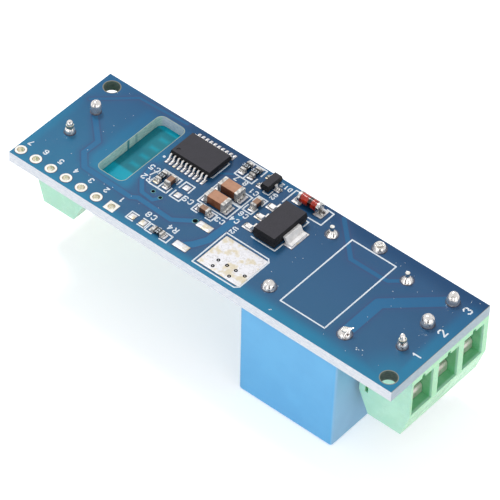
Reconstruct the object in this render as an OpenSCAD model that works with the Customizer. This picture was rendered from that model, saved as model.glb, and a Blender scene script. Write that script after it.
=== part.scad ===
// Single-channel relay module board, standing on its relay with the soldered side up.
// Origin: centre of the board's outline, at the level of the relay's flat face. X runs along
// the board, Y across it, Z up. All sizes are in millimetres.

/* [Board] */
// Length of the board
board_l = 62; // [61:0.5:90]
// Width of the board
board_w = 19.4; // [19.4:0.1:30]
// Thickness of the board
board_t = 1.6; // [0.8:0.1:2.4]
// Diameter of the two mounting holes
mount_hole_d = 2.2; // [1.8:0.1:2.4]
// Distance of a mounting hole from the board's end
mount_inset_x = 1.8; // [1.5:0.1:3]
// Distance of a mounting hole from the board's long edge
mount_inset_y = 1.75; // [1.4:0.05:2.5]
// Length of the window over the aerial, across the board
window_l = 12.6; // [6:0.1:12.6]
// Width of the window, along the board
window_w = 4.4; // [2.5:0.1:5]
// Corner radius of the window
window_r = 0.9; // [0.3:0.1:1.2]
// Distance from the board's left end to the middle of the window
window_from_end = 12.05; // [11:0.05:13]
// Offset of the window and the radio module towards the far edge
window_y = 2; // [1:0.05:2.4]

/* [Header row] */
// Number of header holes
header_n = 7; // [2:1:7]
// Spacing of the header holes
header_pitch = 2.54; // [2:0.01:2.54]
// Distance of the first header hole from the left end
header_from_end = 0.88; // [0.8:0.01:1.5]
// Distance of the header row from the near edge
header_from_edge = 1.26; // [1:0.01:1.6]
// Diameter of a header hole inside its copper sleeve
header_hole_d = 1; // [0.7:0.05:1.1]
// Diameter of a header land
header_land_d = 1.58; // [1.5:0.02:1.9]

/* [Relay] */
// Relay size along the board
relay_w = 15.4; // [14:0.1:16.5]
// Relay size across the board
relay_l = 19.1; // [18.5:0.1:19.4]
// Relay height from its flat face to the board, with its feet
relay_h = 15.2; // [12:0.1:20]
// How much each side of the cover leans in towards the flat face
relay_draft = 0.18; // [0:0.02:0.4]
// Radius of the cover's edges
relay_edge_r = 0.45; // [0.2:0.05:1]
// Height of the feet that hold the relay off the board
relay_foot_h = 0.25; // [0.1:0.05:0.6]
// Distance from the right end of the board to the middle of the relay
relay_from_end = 16.3; // [16:0.1:18]
// Spacing of the two rows of pins along the board
relay_pin_gap = 12; // [11:0.1:12.4]
// Distance from the common pin to the coil pins
relay_coil_step = 2; // [1.6:0.1:2.4]
// Distance from the coil pins to the contact pins
relay_contact_step = 12.2; // [11.6:0.1:12.4]
// Distance from the far side of the cover to the common pin
relay_common_inset = 1.45; // [1.2:0.05:2]

/* [Terminal blocks] */
// Spacing of the poles
pole_pitch = 5; // [5:0.01:5.4]
// Poles of the output block
output_poles = 3; // [1:1:3]
// Poles of the power block
power_poles = 2; // [1:1:2]
// Depth of a block from its wire entries to its back
block_d = 7.9; // [7.6:0.1:8.6]
// Height of a block
block_h = 10.3; // [9.8:0.1:11.5]
// Height at which the front starts to lean back, from the board
block_front_h = 6.4; // [6.3:0.1:7]
// Height at which the back starts to lean in, from the board
block_back_h = 6.85; // [6.4:0.05:7.5]
// How far the front leans back
block_front_lean = 1.2; // [0.4:0.1:1.4]
// How far the back leans in
block_back_lean = 1.6; // [0.8:0.1:1.7]
// Width of a wire entry
entry_w = 3.95; // [3.6:0.05:4.1]
// Height of the sill of a wire entry, from the board
entry_sill_h = 6.15; // [6:0.05:6.3]
// Height of the lintel over a wire entry, from the board
lintel_h = 0.9; // [0.6:0.05:1.1]
// Wall outside the first entry
thin_wall = 0.3; // [0.2:0.05:0.5]
// Distance from a block's front to its screws
screw_from_front = 3.7; // [3.4:0.1:4]
// Distance from the output block's front to its pins
output_pin_inset = 3.8; // [3.2:0.05:4.2]
// Distance from the power block's front to its pins
power_pin_inset = 3.3; // [3.2:0.05:4.2]
// Offset of the power block towards the far edge
power_y = 0.64; // [0:0.01:2]
// Diameter of a clamp screw
screw_d = 2.9; // [2.4:0.1:3.2]
// Diameter of a clamp screw's head
screw_head_d = 3.8; // [3.4:0.1:4]
// Height of a clamp screw's head
screw_head_h = 1.35; // [1:0.05:1.6]
// Travel of a clamp from open to shut
clamp_travel = 2.25; // [1:0.05:2.25]
// Thickness of the wire guard's sheet
guard_t = 0.45; // [0.3:0.05:0.5]
// Thickness of the contact's base and back
contact_t = 0.75; // [0.5:0.05:0.8]
// Thickness of the threaded plate
nut_t = 1.3; // [1:0.05:1.4]

/* [Radio module] */
// Length of the radio module
radio_l = 27; // [24:0.1:28]
// Width of the radio module
radio_w = 13; // [12:0.1:14]
// Thickness of the radio module's board
radio_t = 0.8; // [0.6:0.1:1.2]
// Distance from the window's middle to the aerial end of the radio module
radio_lead_in = 3.4; // [3:0.1:3.9]
// Spacing of the half holes in the radio module's edges
castle_pitch = 1.5; // [1.27:0.01:1.6]
// Half holes on each long edge
castle_n = 13; // [4:1:13]
// Half holes on the short edge
castle_end_n = 8; // [2:1:8]

/* [Surface parts] */
// Length of the controller chip
controller_l = 6.5; // [5:0.1:7.8]
// Width of the controller chip's body
controller_w = 4.4; // [4:0.1:4.6]
// Spacing of the controller's leads
controller_pitch = 0.65; // [0.5:0.01:0.65]
// Leads on each side of the controller
controller_n = 10; // [4:1:10]
// Length of the regulator's body
regulator_l = 6.5; // [6:0.1:6.7]
// Width of the regulator's body
regulator_w = 3.5; // [3.2:0.1:3.7]
// Height of the regulator's body
regulator_h = 1.6; // [1.4:0.05:1.8]
// Length of the transistor's body
transistor_l = 2.9; // [2.8:0.05:3.1]
// Width of the transistor's body
transistor_w = 1.3; // [1.2:0.05:1.4]
// Length of the diode
diode_l = 3.5; // [3.3:0.05:3.7]
// Diameter of the diode
diode_d = 1.5; // [1.3:0.05:1.6]
// Length of a large capacitor
bulk_l = 3.2; // [3:0.05:3.4]
// Width of a large capacitor
bulk_w = 1.6; // [1.4:0.05:1.7]
// Height of a large capacitor
bulk_h = 1.25; // [0.8:0.05:1.6]
// Length of a small capacitor or resistor
small_l = 1.6; // [1.5:0.05:1.7]
// Width of a small capacitor or resistor
small_w = 0.8; // [0.7:0.05:0.9]
// Height of a small capacitor
small_cap_h = 0.75; // [0.5:0.05:0.9]
// Height of a resistor
resistor_h = 0.45; // [0.3:0.05:0.6]
// Thickness of the tinned copper lands
land_t = 0.05; // [0.03:0.01:0.1]

/* [Hidden] */
$fn = 48;
eps = 0.01;

// Levels: the board's two faces, and the top of the lands that parts stand on
board_z0 = relay_h;
board_z1 = board_z0 + board_t;
seat_z = board_z1 + land_t;

// Plan positions, from the middle of the board
left_x = -board_l / 2;
right_x = board_l / 2;
near_y = -board_w / 2;
far_y = board_w / 2;
sleeve_t = 0.1;
mount_x = board_l / 2 - mount_inset_x;
mount_y = board_w / 2 - mount_inset_y;
window_x = left_x + window_from_end;
header_x = left_x + header_from_end;
header_y = near_y + header_from_edge;
radio_x0 = window_x - radio_lead_in;
radio_y = window_y;
radio_gap = 0.05;
radio_z1 = board_z0 - radio_gap;
radio_z0 = radio_z1 - radio_t;
castle_r = 0.3;
castle_inset = 1.5;
castle_x0 = radio_x0 + radio_l - castle_inset;
castle_foot = 0.25;
castle_lip = 0.1;
aerial_inset = 1.5;
aerial_w = 0.9;
aerial_t = 0.05;
aerial_run = 5.9;
aerial_feed = 0.5;
aerial_n = 5;
aerial_step = 1.9;
aerial_off = 1.35;

// What stands on the radio module: [distance from its aerial end, offset across, size, radius]
RADIO_CHIP = [14.5, 0.4, [6, 6, 0.85], 0.15];
RADIO_CRYSTAL = [20.6, 2.6, [3.2, 2.5, 0.7], 0.35];
RADIO_CLOCK = [20.8, -2, [3.2, 1.5, 0.8], 0.2];
RADIO_SMALL = [1, 0.5, 0.35];
RADIO_SMALL_R = 0.08;
RADIO_SMALL_AT = [
    for (i = [0 : 3]) [8.5, -2.4 + i * 1.5],
    for (i = [0 : 2]) [9.9, -1.7 + i * 1.5],
    for (i = [0 : 2]) [12.4 + i * 1.6, -3.9],
    for (i = [0 : 2]) [12.6 + i * 1.6, 4.6],
    for (i = [0 : 1]) [23.6, -1.2 + i * 3.1]
];

// Middle of each half hole in the module's edges: [x, y, direction out of the edge]
CASTLES = concat(
    [for (i = [0 : castle_n - 1], side = [-1, 1])
        [castle_x0 - i * castle_pitch, radio_y + side * radio_w / 2, side * 90]],
    [for (i = [0 : castle_end_n - 1])
        [radio_x0 + radio_l, radio_y + (i - (castle_end_n - 1) / 2) * castle_pitch, 0]]
);

// Relay: across the board, its common pin at the far side, where its cover ends with the board
relay_x = right_x - relay_from_end;
relay_y = far_y - relay_l / 2;
common_y = relay_y + relay_l / 2 - relay_common_inset;
coil_y = common_y - relay_coil_step;
contact_y = coil_y - relay_contact_step;
coil_pin_d = 0.6;
contact_pin_d = 0.9;
relay_wall = 0.9;
relay_ledge = 0.3;
relay_pocket = 2;
relay_base_t = 1.3;
relay_base_z0 = relay_h - relay_foot_h - relay_pocket;
relay_pin_z0 = relay_base_z0 + relay_base_t;
relay_base_gap = 0.05;
relay_collar = 1;
relay_foot = [0.7, 2];
relay_foot_at = 2;
rib_h = 0.35;
rib_inset_x = 1;
rib_inset_y = 4.7;
COIL_PINS = [for (side = [-1, 1]) [relay_x + side * relay_pin_gap / 2, coil_y]];
CONTACT_PINS = [
    [relay_x, common_y],
    for (side = [-1, 1]) [relay_x + side * relay_pin_gap / 2, contact_y]
];

// Inside the relay: a coil on an iron core, a yoke that turns up beside it, an armature that
// rocks on the yoke's end and carries the spring of the moving contact
works_gap = 0.05;
coil_axis_y = relay_y + 1.2;
core_d = 4;
pole_d = 5.6;
pole_t = 0.6;
bobbin_d = 10.4;
bobbin_wall = 0.6;
winding_d = 9.8;
yoke_w = 9;
yoke_t = 1.2;
yoke_y1 = relay_y + 7.8;
yoke_z1 = relay_base_z0 - yoke_t;
armature_z0 = 2;
armature_t = 1;
armature_y0 = relay_y - 4.2;
air_gap = 0.3;
pole_z = armature_z0 + armature_t + air_gap;
spring_t = 0.2;
spring_w = 4;
strip_t = 0.4;
strip_w = 2.6;
button_d = 1.8;
button_h = 0.4;
moving_z = armature_z0 - spring_t;
// Height of each fixed contact: the one that opens, and the one that closes
STRIP_Z = [moving_z - button_h - strip_t, moving_z + spring_t + 2 * button_h];

// Terminal blocks. A pole's own frame: u runs in from the block's front, v along the row from
// the middle of the pole, w away from the board.
block_extra = 0.15;
output_w = output_poles * pole_pitch + block_extra;
output_y = far_y - output_w / 2;
entry_v = -(pole_pitch + block_extra) / 2 + thin_wall + entry_w / 2;
entry_depth = 6.1;
fit_gap = 0.05;
well_gap = 0.2;
leg_d = 1;
leg_out = 1.3;
contact_w = 3.3;
contact_u0 = 2;
contact_u1 = 6;
nut_w1 = 6.4;
nut_w0 = nut_w1 - nut_t;
guard_gap = 0.15;
guard_w1 = nut_w0 - guard_gap;
guard_w0 = guard_w1 - guard_t;
guard_u1 = contact_u1 - contact_t - 0.3;
guard_lip_gap = 0.1;
guard_lip_w = entry_sill_h - 0.1;
guard_side_gap = 0.08;
neck_d = 1.6;
neck_gap = 0.05;
stake_d = 2.3;
stake_h = 0.25;
head_w0 = nut_w1 + clamp_travel + fit_gap;
driver_slot_w = 0.7;
driver_slot_h = 0.75;
groove_u = 6.75;
groove_mouth = 0.45;
groove_floor = 0.75;
groove_depth = 0.5;
groove_h = 6.65;
notch_w = 0.65;
notch_h = 0.55;
mouth_chamfer = 0.3;
head_chamfer = 0.2;
contact_foot_w = 0.1;
contact_bend_r = 0.5;
contact_inner_r = 0.2;
guard_bend_r = 0.15;

// The five poles: [x of the block's front, y, direction of the wire entry, inset of the pin]
POLES = [
    for (i = [0 : output_poles - 1])
        [right_x, output_y + (i - (output_poles - 1) / 2) * pole_pitch, 1, output_pin_inset],
    for (i = [0 : power_poles - 1])
        [left_x, power_y - (i - (power_poles - 1) / 2) * pole_pitch, -1, power_pin_inset]
];

// Surface parts: [x, y] from the board's left end and from its middle line, and the turn of
// the part's length from X
function on_board(x, y) = [left_x + x, y];
controller_at = on_board(18.9, 5.5);
regulator_at = on_board(34.36, 2.55);
transistor_at = on_board(28.65, 7.75);
diode_at = on_board(34.6, 8.2);
BULK = [[on_board(25.7, 0.8), 0], [on_board(25.7, 3.45), 0]];
SMALL_CAPS = [[on_board(25.36, -1.4), 0], [on_board(29.5, 3.8), 90], [on_board(18.9, -0.35), 90]];
RESISTORS = [
    [on_board(24.3, 8.05), 90], [on_board(25.75, 8.05), 90],
    [on_board(17.4, -0.35), 90], [on_board(23.5, -8), 0]
];
UNFITTED = [[on_board(20.98, -0.5), 90], [on_board(20.08, -7.96), 0]];
TEST_PADS = [on_board(27.1, -3.35), on_board(27.1, -7.87)];
BULK_SIZE = [bulk_l, bulk_w, bulk_h];
CAP_SIZE = [small_l, small_w, small_cap_h];
RES_SIZE = [small_l, small_w, resistor_h];
small_pad = 0.85;
small_pad_at = 0.85;
bulk_pad = [1, 1.7];
bulk_pad_at = 1.6;
controller_pad = [0.36, 1.05];
controller_pad_at = 0.72;
regulator_pad = [1.6, 1];
regulator_tab_pad = [1.4, 3.5];
regulator_tab_pad_at = 0.87;
regulator_pad_at = 1.35;
transistor_pad = [0.9, 0.8];
transistor_pad_at = 0.4;
diode_pad = [1.3, 1.7];
small_end = 0.32;
bulk_end = 0.5;
end_skin = 0.03;
test_pad = [2.15, 1.05];
tinned_pad = [6.75, 5.75];
tinned_at = on_board(33.55, -5.64);

// Leads, each with the height at which it leaves its body
lead_t = 0.15;
controller_h = 1;
controller_mark_d = 0.55;
controller_mark_depth = 0.08;
controller_mark_inset = 0.75;
chip_gap = 0.1;
controller_lead_w = 0.22;
controller_reach = 0.9;
regulator_lead_w = 0.7;
regulator_pitch = 2.3;
regulator_reach = 1.75;
regulator_tab_w = 3;
regulator_tab_reach = 1.4;
regulator_tab_foot = 0.75;
regulator_lead_t = 0.28;
transistor_h = 1;
transistor_lead_w = 0.42;
transistor_pitch = 1.9;
transistor_reach = 0.55;
TRANSISTOR_LEADS = [[-1, -1], [-1, 1], [1, 0]];
controller_foot = 0.4;
regulator_foot = 0.9;
transistor_foot = 0.3;
lead_rise = 0.4;
body_draft = 0.12;
cap_len = 0.45;
glass_inset = 0.05;
cap_edge_r = 0.15;
chip_edge_r = 0.08;

// Solder joints: the play of a pin in its hole, then for each joint [land diameter, radius of
// its tip, height, and the two powers that shape its side]
hole_gap = 0.5;
POWER_JOINT = [1.9, 0.3, 1.95, 1.4, 1];
OUTPUT_JOINTS = [for (i = [0 : output_poles - 1]) [2.1, 0.25, i == 0 ? 2.05 : 1.65, 2, 0.7]];
COIL_JOINT = [1.7, coil_pin_d / 2, 0.75, 0.9, 2.2];
CONTACT_JOINT = [2.1, 0.3, 1.2, 2, 0.6];
coil_pin_out = 1.35;
contact_pin_out = 0.9;

// Points of a circular arc from angle a0 to a1
function arc(cx, cy, r, a0, a1, n = 4) =
    [for (i = [0 : n]) let (a = a0 + (a1 - a0) * i / n) [cx + r * cos(a), cy + r * sin(a)]];

// Outline of a rectangle w by h with round corners, about its middle
function round_rect(w, h, r) = concat(
    arc(w / 2 - r, h / 2 - r, r, 0, 90), arc(r - w / 2, h / 2 - r, r, 90, 180),
    arc(r - w / 2, r - h / 2, r, 180, 270), arc(w / 2 - r, r - h / 2, r, 270, 360));

// Where a pole's leg goes through the board
function leg_place(pole) = [pole[0] - pole[2] * pole[3], pole[1]];

// Places children on a pole: the front face of its block becomes u = 0, and w runs down. Seen
// from its wire entries, a block's poles run from left to right.
module at_pole(i) {
    translate([POLES[i][0], POLES[i][1], board_z0])
        rotate([180, 0, POLES[i][2] > 0 ? 180 : 0])
            children();
}

// A flat shape drawn in u and w, given a thickness along v about v = v0
module across_v(thick, v0 = 0) {
    translate([0, v0 + thick / 2, 0]) rotate([90, 0, 0]) linear_extrude(thick) children();
}

module circuit_board() {
    color("steelblue") difference() {
        translate([left_x, near_y, board_z0]) cube([board_l, board_w, board_t]);
        translate([0, 0, board_z0 - eps]) {
            for (side = [-1, 1])
                translate([side * mount_x, -side * mount_y, 0])
                    cylinder(d = mount_hole_d, h = board_t + 2 * eps);
            translate([window_x, window_y, 0]) window_cut(board_t + 2 * eps);
            for (i = [0 : header_n - 1])
                translate([header_x + i * header_pitch, header_y, 0])
                    cylinder(d = header_hole_d + 2 * sleeve_t, h = board_t + 2 * eps);
            for (p = COIL_PINS)
                translate(p) cylinder(d = coil_pin_d + hole_gap, h = board_t + 2 * eps);
            for (p = CONTACT_PINS)
                translate(p) cylinder(d = contact_pin_d + hole_gap, h = board_t + 2 * eps);
            for (pole = POLES)
                translate(leg_place(pole))
                    cylinder(d = leg_d + hole_gap, h = board_t + 2 * eps);
        }
    }
}

// The window over the aerial: a slot with round corners
module window_cut(h) {
    inner = [window_w - 2 * window_r, window_l - 2 * window_r];
    translate([-inner[0] / 2, -window_l / 2, 0]) cube([inner[0], window_l, h]);
    translate([-window_w / 2, -inner[1] / 2, 0]) cube([window_w, inner[1], h]);
    for (x = [-1, 1], y = [-1, 1])
        translate([x * inner[0] / 2, y * inner[1] / 2, 0]) cylinder(r = window_r, h = h);
}

// Copper sleeves of the header holes, each with a land on both faces; the last one is square
module header_sleeves() {
    color("gainsboro") for (i = [0 : header_n - 1])
        translate([header_x + i * header_pitch, header_y, 0]) difference() {
            union() {
                translate([0, 0, board_z0])
                    cylinder(d = header_hole_d + 2 * sleeve_t, h = board_t);
                for (z = [board_z0 - land_t, board_z1])
                    translate([0, 0, z])
                        if (i == header_n - 1)
                            translate([-header_land_d / 2, -header_land_d / 2, 0])
                                cube([header_land_d, header_land_d, land_t]);
                        else
                            cylinder(d = header_land_d, h = land_t);
            }
            translate([0, 0, board_z0 - 1]) cylinder(d = header_hole_d, h = board_t + 2);
        }
}

// One rectangular land, sized along and across, at a place on the board
module land(at, size, turn = 0) {
    translate([at[0], at[1], board_z1]) rotate([0, 0, turn])
        translate([-size[0] / 2, -size[1] / 2, 0]) cube([size[0], size[1], land_t]);
}

// Two lands at the ends of a part, whose length is turned from X
module land_pair(part, spread, size) {
    dir = [cos(part[1]), sin(part[1])];
    for (side = [-1, 1]) land(part[0] + side * spread * dir, size, part[1]);
}

module copper_lands() {
    color("lightgray") {
        for (part = concat(SMALL_CAPS, RESISTORS, UNFITTED))
            land_pair(part, small_pad_at, [small_pad, small_pad]);
        for (part = BULK) land_pair(part, bulk_pad_at, bulk_pad);
        for (p = TEST_PADS) land(p, test_pad);
        land(tinned_at, tinned_pad);
        for (i = [0 : controller_n - 1], side = [-1, 1])
            land(controller_at + [controller_lead_x(i), side * (controller_w / 2 + controller_pad_at)],
                controller_pad);
        for (i = [-1 : 1])
            land(regulator_at + [-regulator_w / 2 - regulator_pad_at, i * regulator_pitch],
                regulator_pad);
        land(regulator_at + [regulator_w / 2 + regulator_tab_pad_at, 0], regulator_tab_pad);
        for (p = TRANSISTOR_LEADS)
            land(transistor_at + [
                p[0] * (transistor_w / 2 + transistor_pad_at), p[1] * transistor_pitch / 2
            ], transistor_pad);
        for (side = [-1, 1]) land(diode_at + [side * diode_l / 2, 0], diode_pad);
    }
}

// Relay cover: flat face down, sides with draft, hollow, with a ledge that holds the base
module relay_case() {
    r = relay_edge_r;
    top = [relay_w / 2 - r, relay_l / 2 - r];
    pocket = [relay_w - 2 * relay_wall, relay_l - 2 * relay_wall];
    body_h = relay_h - relay_foot_h;
    color("dodgerblue") translate([relay_x, relay_y, 0]) {
        difference() {
            hull() for (x = [-1, 1], y = [-1, 1]) {
                translate([x * (top[0] - relay_draft), y * (top[1] - relay_draft), 0])
                    rotate_extrude($fn = 24)
                        polygon(concat([[0, 0]], arc(0, r, r, -90, 0), [[0, r]]));
                translate([x * top[0], y * top[1], body_h - relay_collar])
                    cylinder(r = r, h = relay_collar, $fn = 24);
            }
            translate([-pocket[0] / 2, -pocket[1] / 2, relay_base_z0])
                cube([pocket[0], pocket[1], relay_pocket + eps]);
            translate([relay_ledge - pocket[0] / 2, relay_ledge - pocket[1] / 2, relay_wall])
                cube([pocket[0] - 2 * relay_ledge, pocket[1] - 2 * relay_ledge, relay_base_z0]);
        }
        // Four feet that hold the cover off the board
        for (x = [-1, 1], y = [-1, 1])
            translate([
                x * (relay_w - relay_wall) / 2 - relay_foot[0] / 2,
                y * (relay_l / 2 - relay_foot_at) - relay_foot[1] / 2,
                body_h - relay_collar
            ])
                cube([relay_foot[0], relay_foot[1], relay_collar + relay_foot_h]);
    }
}

// Relay base: the plate that carries the pins, set into the cover, with a raised middle
module relay_base() {
    plate = [relay_w - 2 * (relay_wall + relay_base_gap), relay_l - 2 * (relay_wall + relay_base_gap)];
    color("royalblue") translate([relay_x, relay_y, relay_base_z0]) {
        translate([-plate[0] / 2, -plate[1] / 2, 0]) cube([plate[0], plate[1], relay_base_t]);
        translate([rib_inset_x - plate[0] / 2, rib_inset_y - plate[1] / 2, relay_base_t])
            cube([plate[0] - 2 * rib_inset_x, plate[1] - 2 * rib_inset_y, rib_h]);
    }
}

// Pins rise from the base, through the board and out of their solder
module relay_pin(p, d, out) {
    length = board_z1 + out - relay_pin_z0;
    translate([p[0], p[1], relay_pin_z0]) cylinder(d = d, h = length);
}

module relay_coil_pins() {
    color("silver") for (p = COIL_PINS) relay_pin(p, coil_pin_d, coil_pin_out);
}

// The two fixed contacts hang from the base on bent strips, under their own pins
module relay_contact_pins() {
    color("silver") {
        for (p = CONTACT_PINS) relay_pin(p, contact_pin_d, contact_pin_out);
        for (i = [0, 1]) translate([relay_x, contact_y, 0]) mirror([1 - i, 0, 0]) {
            x1 = relay_pin_gap / 2 + strip_t / 2;
            z = STRIP_Z[i];
            across_y(strip_w) polygon([
                [-strip_w / 2, z], [x1, z], [x1, relay_base_z0], [x1 - strip_t, relay_base_z0],
                [x1 - strip_t, z + strip_t], [-strip_w / 2, z + strip_t]
            ]);
            translate([0, 0, i == 0 ? z + strip_t : z - button_h]) cylinder(d = button_d, h = button_h);
        }
    }
}

// A flat shape drawn in y and z, given a thickness along x about the relay's middle
module across_x(thick) {
    translate([relay_x, 0, 0]) rotate([90, 0, 90])
        translate([0, 0, -thick / 2]) linear_extrude(thick) children();
}

// A flat shape drawn in x and z, given a thickness along y
module across_y(thick) {
    rotate([90, 0, 0]) translate([0, 0, -thick / 2]) linear_extrude(thick) children();
}

// A ring round the coil's axis, from a section drawn in radius and z
module round_coil() {
    translate([relay_x, coil_axis_y, 0]) rotate_extrude() children();
}

module relay_bobbin() {
    r0 = core_d / 2 + works_gap;
    r1 = r0 + bobbin_wall;
    z0 = pole_z + pole_t;
    color("ivory") round_coil() polygon([
        [r0, z0], [bobbin_d / 2, z0], [bobbin_d / 2, z0 + bobbin_wall], [r1, z0 + bobbin_wall],
        [r1, yoke_z1 - bobbin_wall], [bobbin_d / 2, yoke_z1 - bobbin_wall],
        [bobbin_d / 2, yoke_z1], [r0, yoke_z1]
    ]);
}

// Coil winding between the bobbin's two flanges
module relay_winding() {
    r0 = core_d / 2 + bobbin_wall + 2 * works_gap;
    z0 = pole_z + pole_t + bobbin_wall + works_gap;
    color("sienna") round_coil() polygon([
        [r0, z0], [winding_d / 2, z0], [winding_d / 2, yoke_z1 - bobbin_wall - works_gap],
        [r0, yoke_z1 - bobbin_wall - works_gap]
    ]);
}

// Iron yoke with the core riveted into it; the core ends in a wider pole face
module relay_yoke() {
    color("gray") {
        across_x(yoke_w) polygon([
            [coil_axis_y - core_d, yoke_z1], [coil_axis_y - core_d, relay_base_z0],
            [yoke_y1, relay_base_z0], [yoke_y1, armature_z0 + armature_t],
            [yoke_y1 - yoke_t, armature_z0 + armature_t], [yoke_y1 - yoke_t, yoke_z1]
        ]);
        round_coil() polygon([
            [0, pole_z], [pole_d / 2, pole_z], [pole_d / 2, pole_z + pole_t],
            [core_d / 2, pole_z + pole_t], [core_d / 2, yoke_z1 + yoke_t / 2], [0, yoke_z1 + yoke_t / 2]
        ]);
    }
}

module relay_armature() {
    color("dimgray") translate([relay_x - yoke_w / 2, armature_y0, armature_z0])
        cube([yoke_w, yoke_y1 - armature_y0, armature_t]);
}

// Bronze spring under the armature, with a contact button on both faces of its tip
module relay_spring() {
    tip_y = contact_y - strip_w / 2;
    color("goldenrod") {
        translate([relay_x - spring_w / 2, tip_y, moving_z])
            cube([spring_w, yoke_y1 - tip_y, spring_t]);
        translate([relay_x, contact_y, moving_z]) cylinder(d = button_d, h = spring_t + button_h);
    }
}

// Housing of a screw terminal block, drawn in the frame of its first pole
module terminal_housing(poles) {
    w0 = -(pole_pitch + block_extra) / 2;
    width = poles * pole_pitch + block_extra;
    difference() {
        across_v(width, w0 + width / 2) polygon([
            [0, 0], [block_d, 0], [block_d, block_back_h], [block_d - block_back_lean, block_h],
            [block_front_lean, block_h], [0, block_front_h]
        ]);
        for (i = [0 : poles - 1]) translate([0, i * pole_pitch, 0]) pole_cuts();
        // Groove that joins a block to the next one
        translate([groove_u, w0 - eps, 0]) linear_extrude(groove_h) polygon([
            [-groove_mouth / 2, 0], [groove_mouth / 2, 0],
            [groove_floor / 2, groove_depth], [-groove_floor / 2, groove_depth]
        ]);
    }
}

// What is cut from a housing at each pole
module pole_cuts() {
    // Wire entry
    translate([-1, entry_v - entry_w / 2, lintel_h])
        cube([entry_depth + 1, entry_w, entry_sill_h - lintel_h]);
    // Notch in the lintel
    translate([-1, entry_v, lintel_h - notch_h + notch_w / 2]) {
        rotate([0, 90, 0]) cylinder(d = notch_w, h = contact_u0 + 1);
        translate([0, -notch_w / 2, 0]) cube([contact_u0 + 1, notch_w, notch_h]);
    }
    // Seat of the contact, open towards the board
    translate([contact_u0 - fit_gap, -contact_w / 2 - fit_gap, -1])
        cube([entry_depth - contact_u0 + fit_gap, contact_w + 2 * fit_gap, nut_w1 + fit_gap + 1]);
    // Well of the screw
    translate([screw_from_front, 0, nut_w1])
        cylinder(d = screw_head_d + 2 * well_gap, h = block_h);
    // Chamfer at the mouth of the well
    mouth_d = screw_head_d + 2 * well_gap;
    translate([screw_from_front, 0, block_h - mouth_chamfer])
        cylinder(d1 = mouth_d, d2 = mouth_d + 4 * mouth_chamfer, h = 2 * mouth_chamfer);
}

module output_housing() {
    color("mediumaquamarine") at_pole(0) terminal_housing(output_poles);
}

module power_housing() {
    color("mediumaquamarine") at_pole(output_poles) terminal_housing(power_poles);
}

// Contact: a strip bent to a C round the clamp, with its leg through the board
module contact(i) {
    r = contact_bend_r;
    inner = contact_inner_r;
    foot_w1 = contact_foot_w + contact_t;
    color("lightgray") at_pole(i) difference() {
        union() {
            across_v(contact_w) polygon(concat(
                [[contact_u0, contact_foot_w]],
                arc(contact_u1 - r, contact_foot_w + r, r, -90, 0),
                arc(contact_u1 - r, nut_w1 - r, r, 0, 90),
                [[contact_u0, nut_w1], [contact_u0, nut_w0]],
                arc(contact_u1 - contact_t - inner, nut_w0 - inner, inner, 90, 0),
                arc(contact_u1 - contact_t - inner, foot_w1 + inner, inner, 0, -90),
                [[contact_u0, foot_w1]]
            ));
            translate([POLES[i][3], 0, -board_t - leg_out])
                cylinder(d = leg_d, h = board_t + leg_out + foot_w1);
        }
        translate([screw_from_front, 0, nut_w0 - 1])
            cylinder(d = screw_d + 2 * fit_gap, h = nut_t + 2);
    }
}

// Wire guard: a plate under the screw's tip with a lip over the threaded plate's front
module wire_guard(i) {
    width = entry_w - 2 * guard_side_gap;
    u0 = contact_u0 - guard_lip_gap - guard_t;
    bend = guard_t + guard_bend_r;
    color("silver") at_pole(i) difference() {
        across_v(width, entry_v) polygon(concat(
            [[guard_u1, guard_w0]],
            arc(u0 + bend, guard_w0 + bend, bend, 270, 180),
            [[u0, guard_lip_w], [u0 + guard_t, guard_lip_w]],
            arc(u0 + bend, guard_w0 + bend, bend - guard_t, 180, 270),
            [[guard_u1, guard_w1]]
        ));
        translate([screw_from_front, 0, guard_w0 - 1])
            cylinder(d = neck_d + 2 * neck_gap, h = guard_t + 2);
    }
}

// Clamp screw: slotted head, shank through the threaded plate, neck staked into the guard
module clamp_screw(i) {
    color("silver") at_pole(i) translate([screw_from_front, 0, 0]) difference() {
        union() {
            translate([0, 0, guard_w0 - neck_gap - stake_h]) cylinder(d = stake_d, h = stake_h);
            translate([0, 0, guard_w0 - neck_gap]) cylinder(d = neck_d, h = guard_t + 2 * neck_gap);
            translate([0, 0, guard_w1 + neck_gap])
                cylinder(d = screw_d, h = head_w0 - guard_w1 - neck_gap);
            translate([0, 0, head_w0]) cylinder(d = screw_head_d, h = screw_head_h - head_chamfer);
            translate([0, 0, head_w0 + screw_head_h - head_chamfer])
                cylinder(d1 = screw_head_d, d2 = screw_head_d - 2 * head_chamfer, h = head_chamfer);
        }
        translate([-screw_head_d, -driver_slot_w / 2, head_w0 + screw_head_h - driver_slot_h])
            cube([2 * screw_head_d, driver_slot_w, driver_slot_h + 1]);
    }
}

// A solder joint: it fills the hole round its pin and climbs from the land to its tip. One that
// is taller than its pin closes over it.
module solder_joint(p, pin_d, pin_out, joint) {
    n = 10;
    land_r = joint[0] / 2;
    tip = joint[1];
    height = joint[2];
    hole_r = (pin_d + hole_gap) / 2;
    side = [for (i = [0 : n]) let (s = i / n) [
        tip + (land_r - tip) * pow(1 - pow(s, joint[3]), joint[4]),
        land_t + (height - land_t) * s
    ]];
    crown = height > pin_out ? [[0, height], [0, pin_out], [pin_d / 2, pin_out]] : [];
    translate([p[0], p[1], board_z1]) rotate_extrude() polygon(concat(
        [[pin_d / 2, -board_t], [hole_r, -board_t], [hole_r, 0], [land_r, 0]], side, crown));
}

module solder_power() {
    color("silver") for (i = [output_poles : output_poles + power_poles - 1])
        solder_joint(leg_place(POLES[i]), leg_d, leg_out, POWER_JOINT);
}

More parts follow.
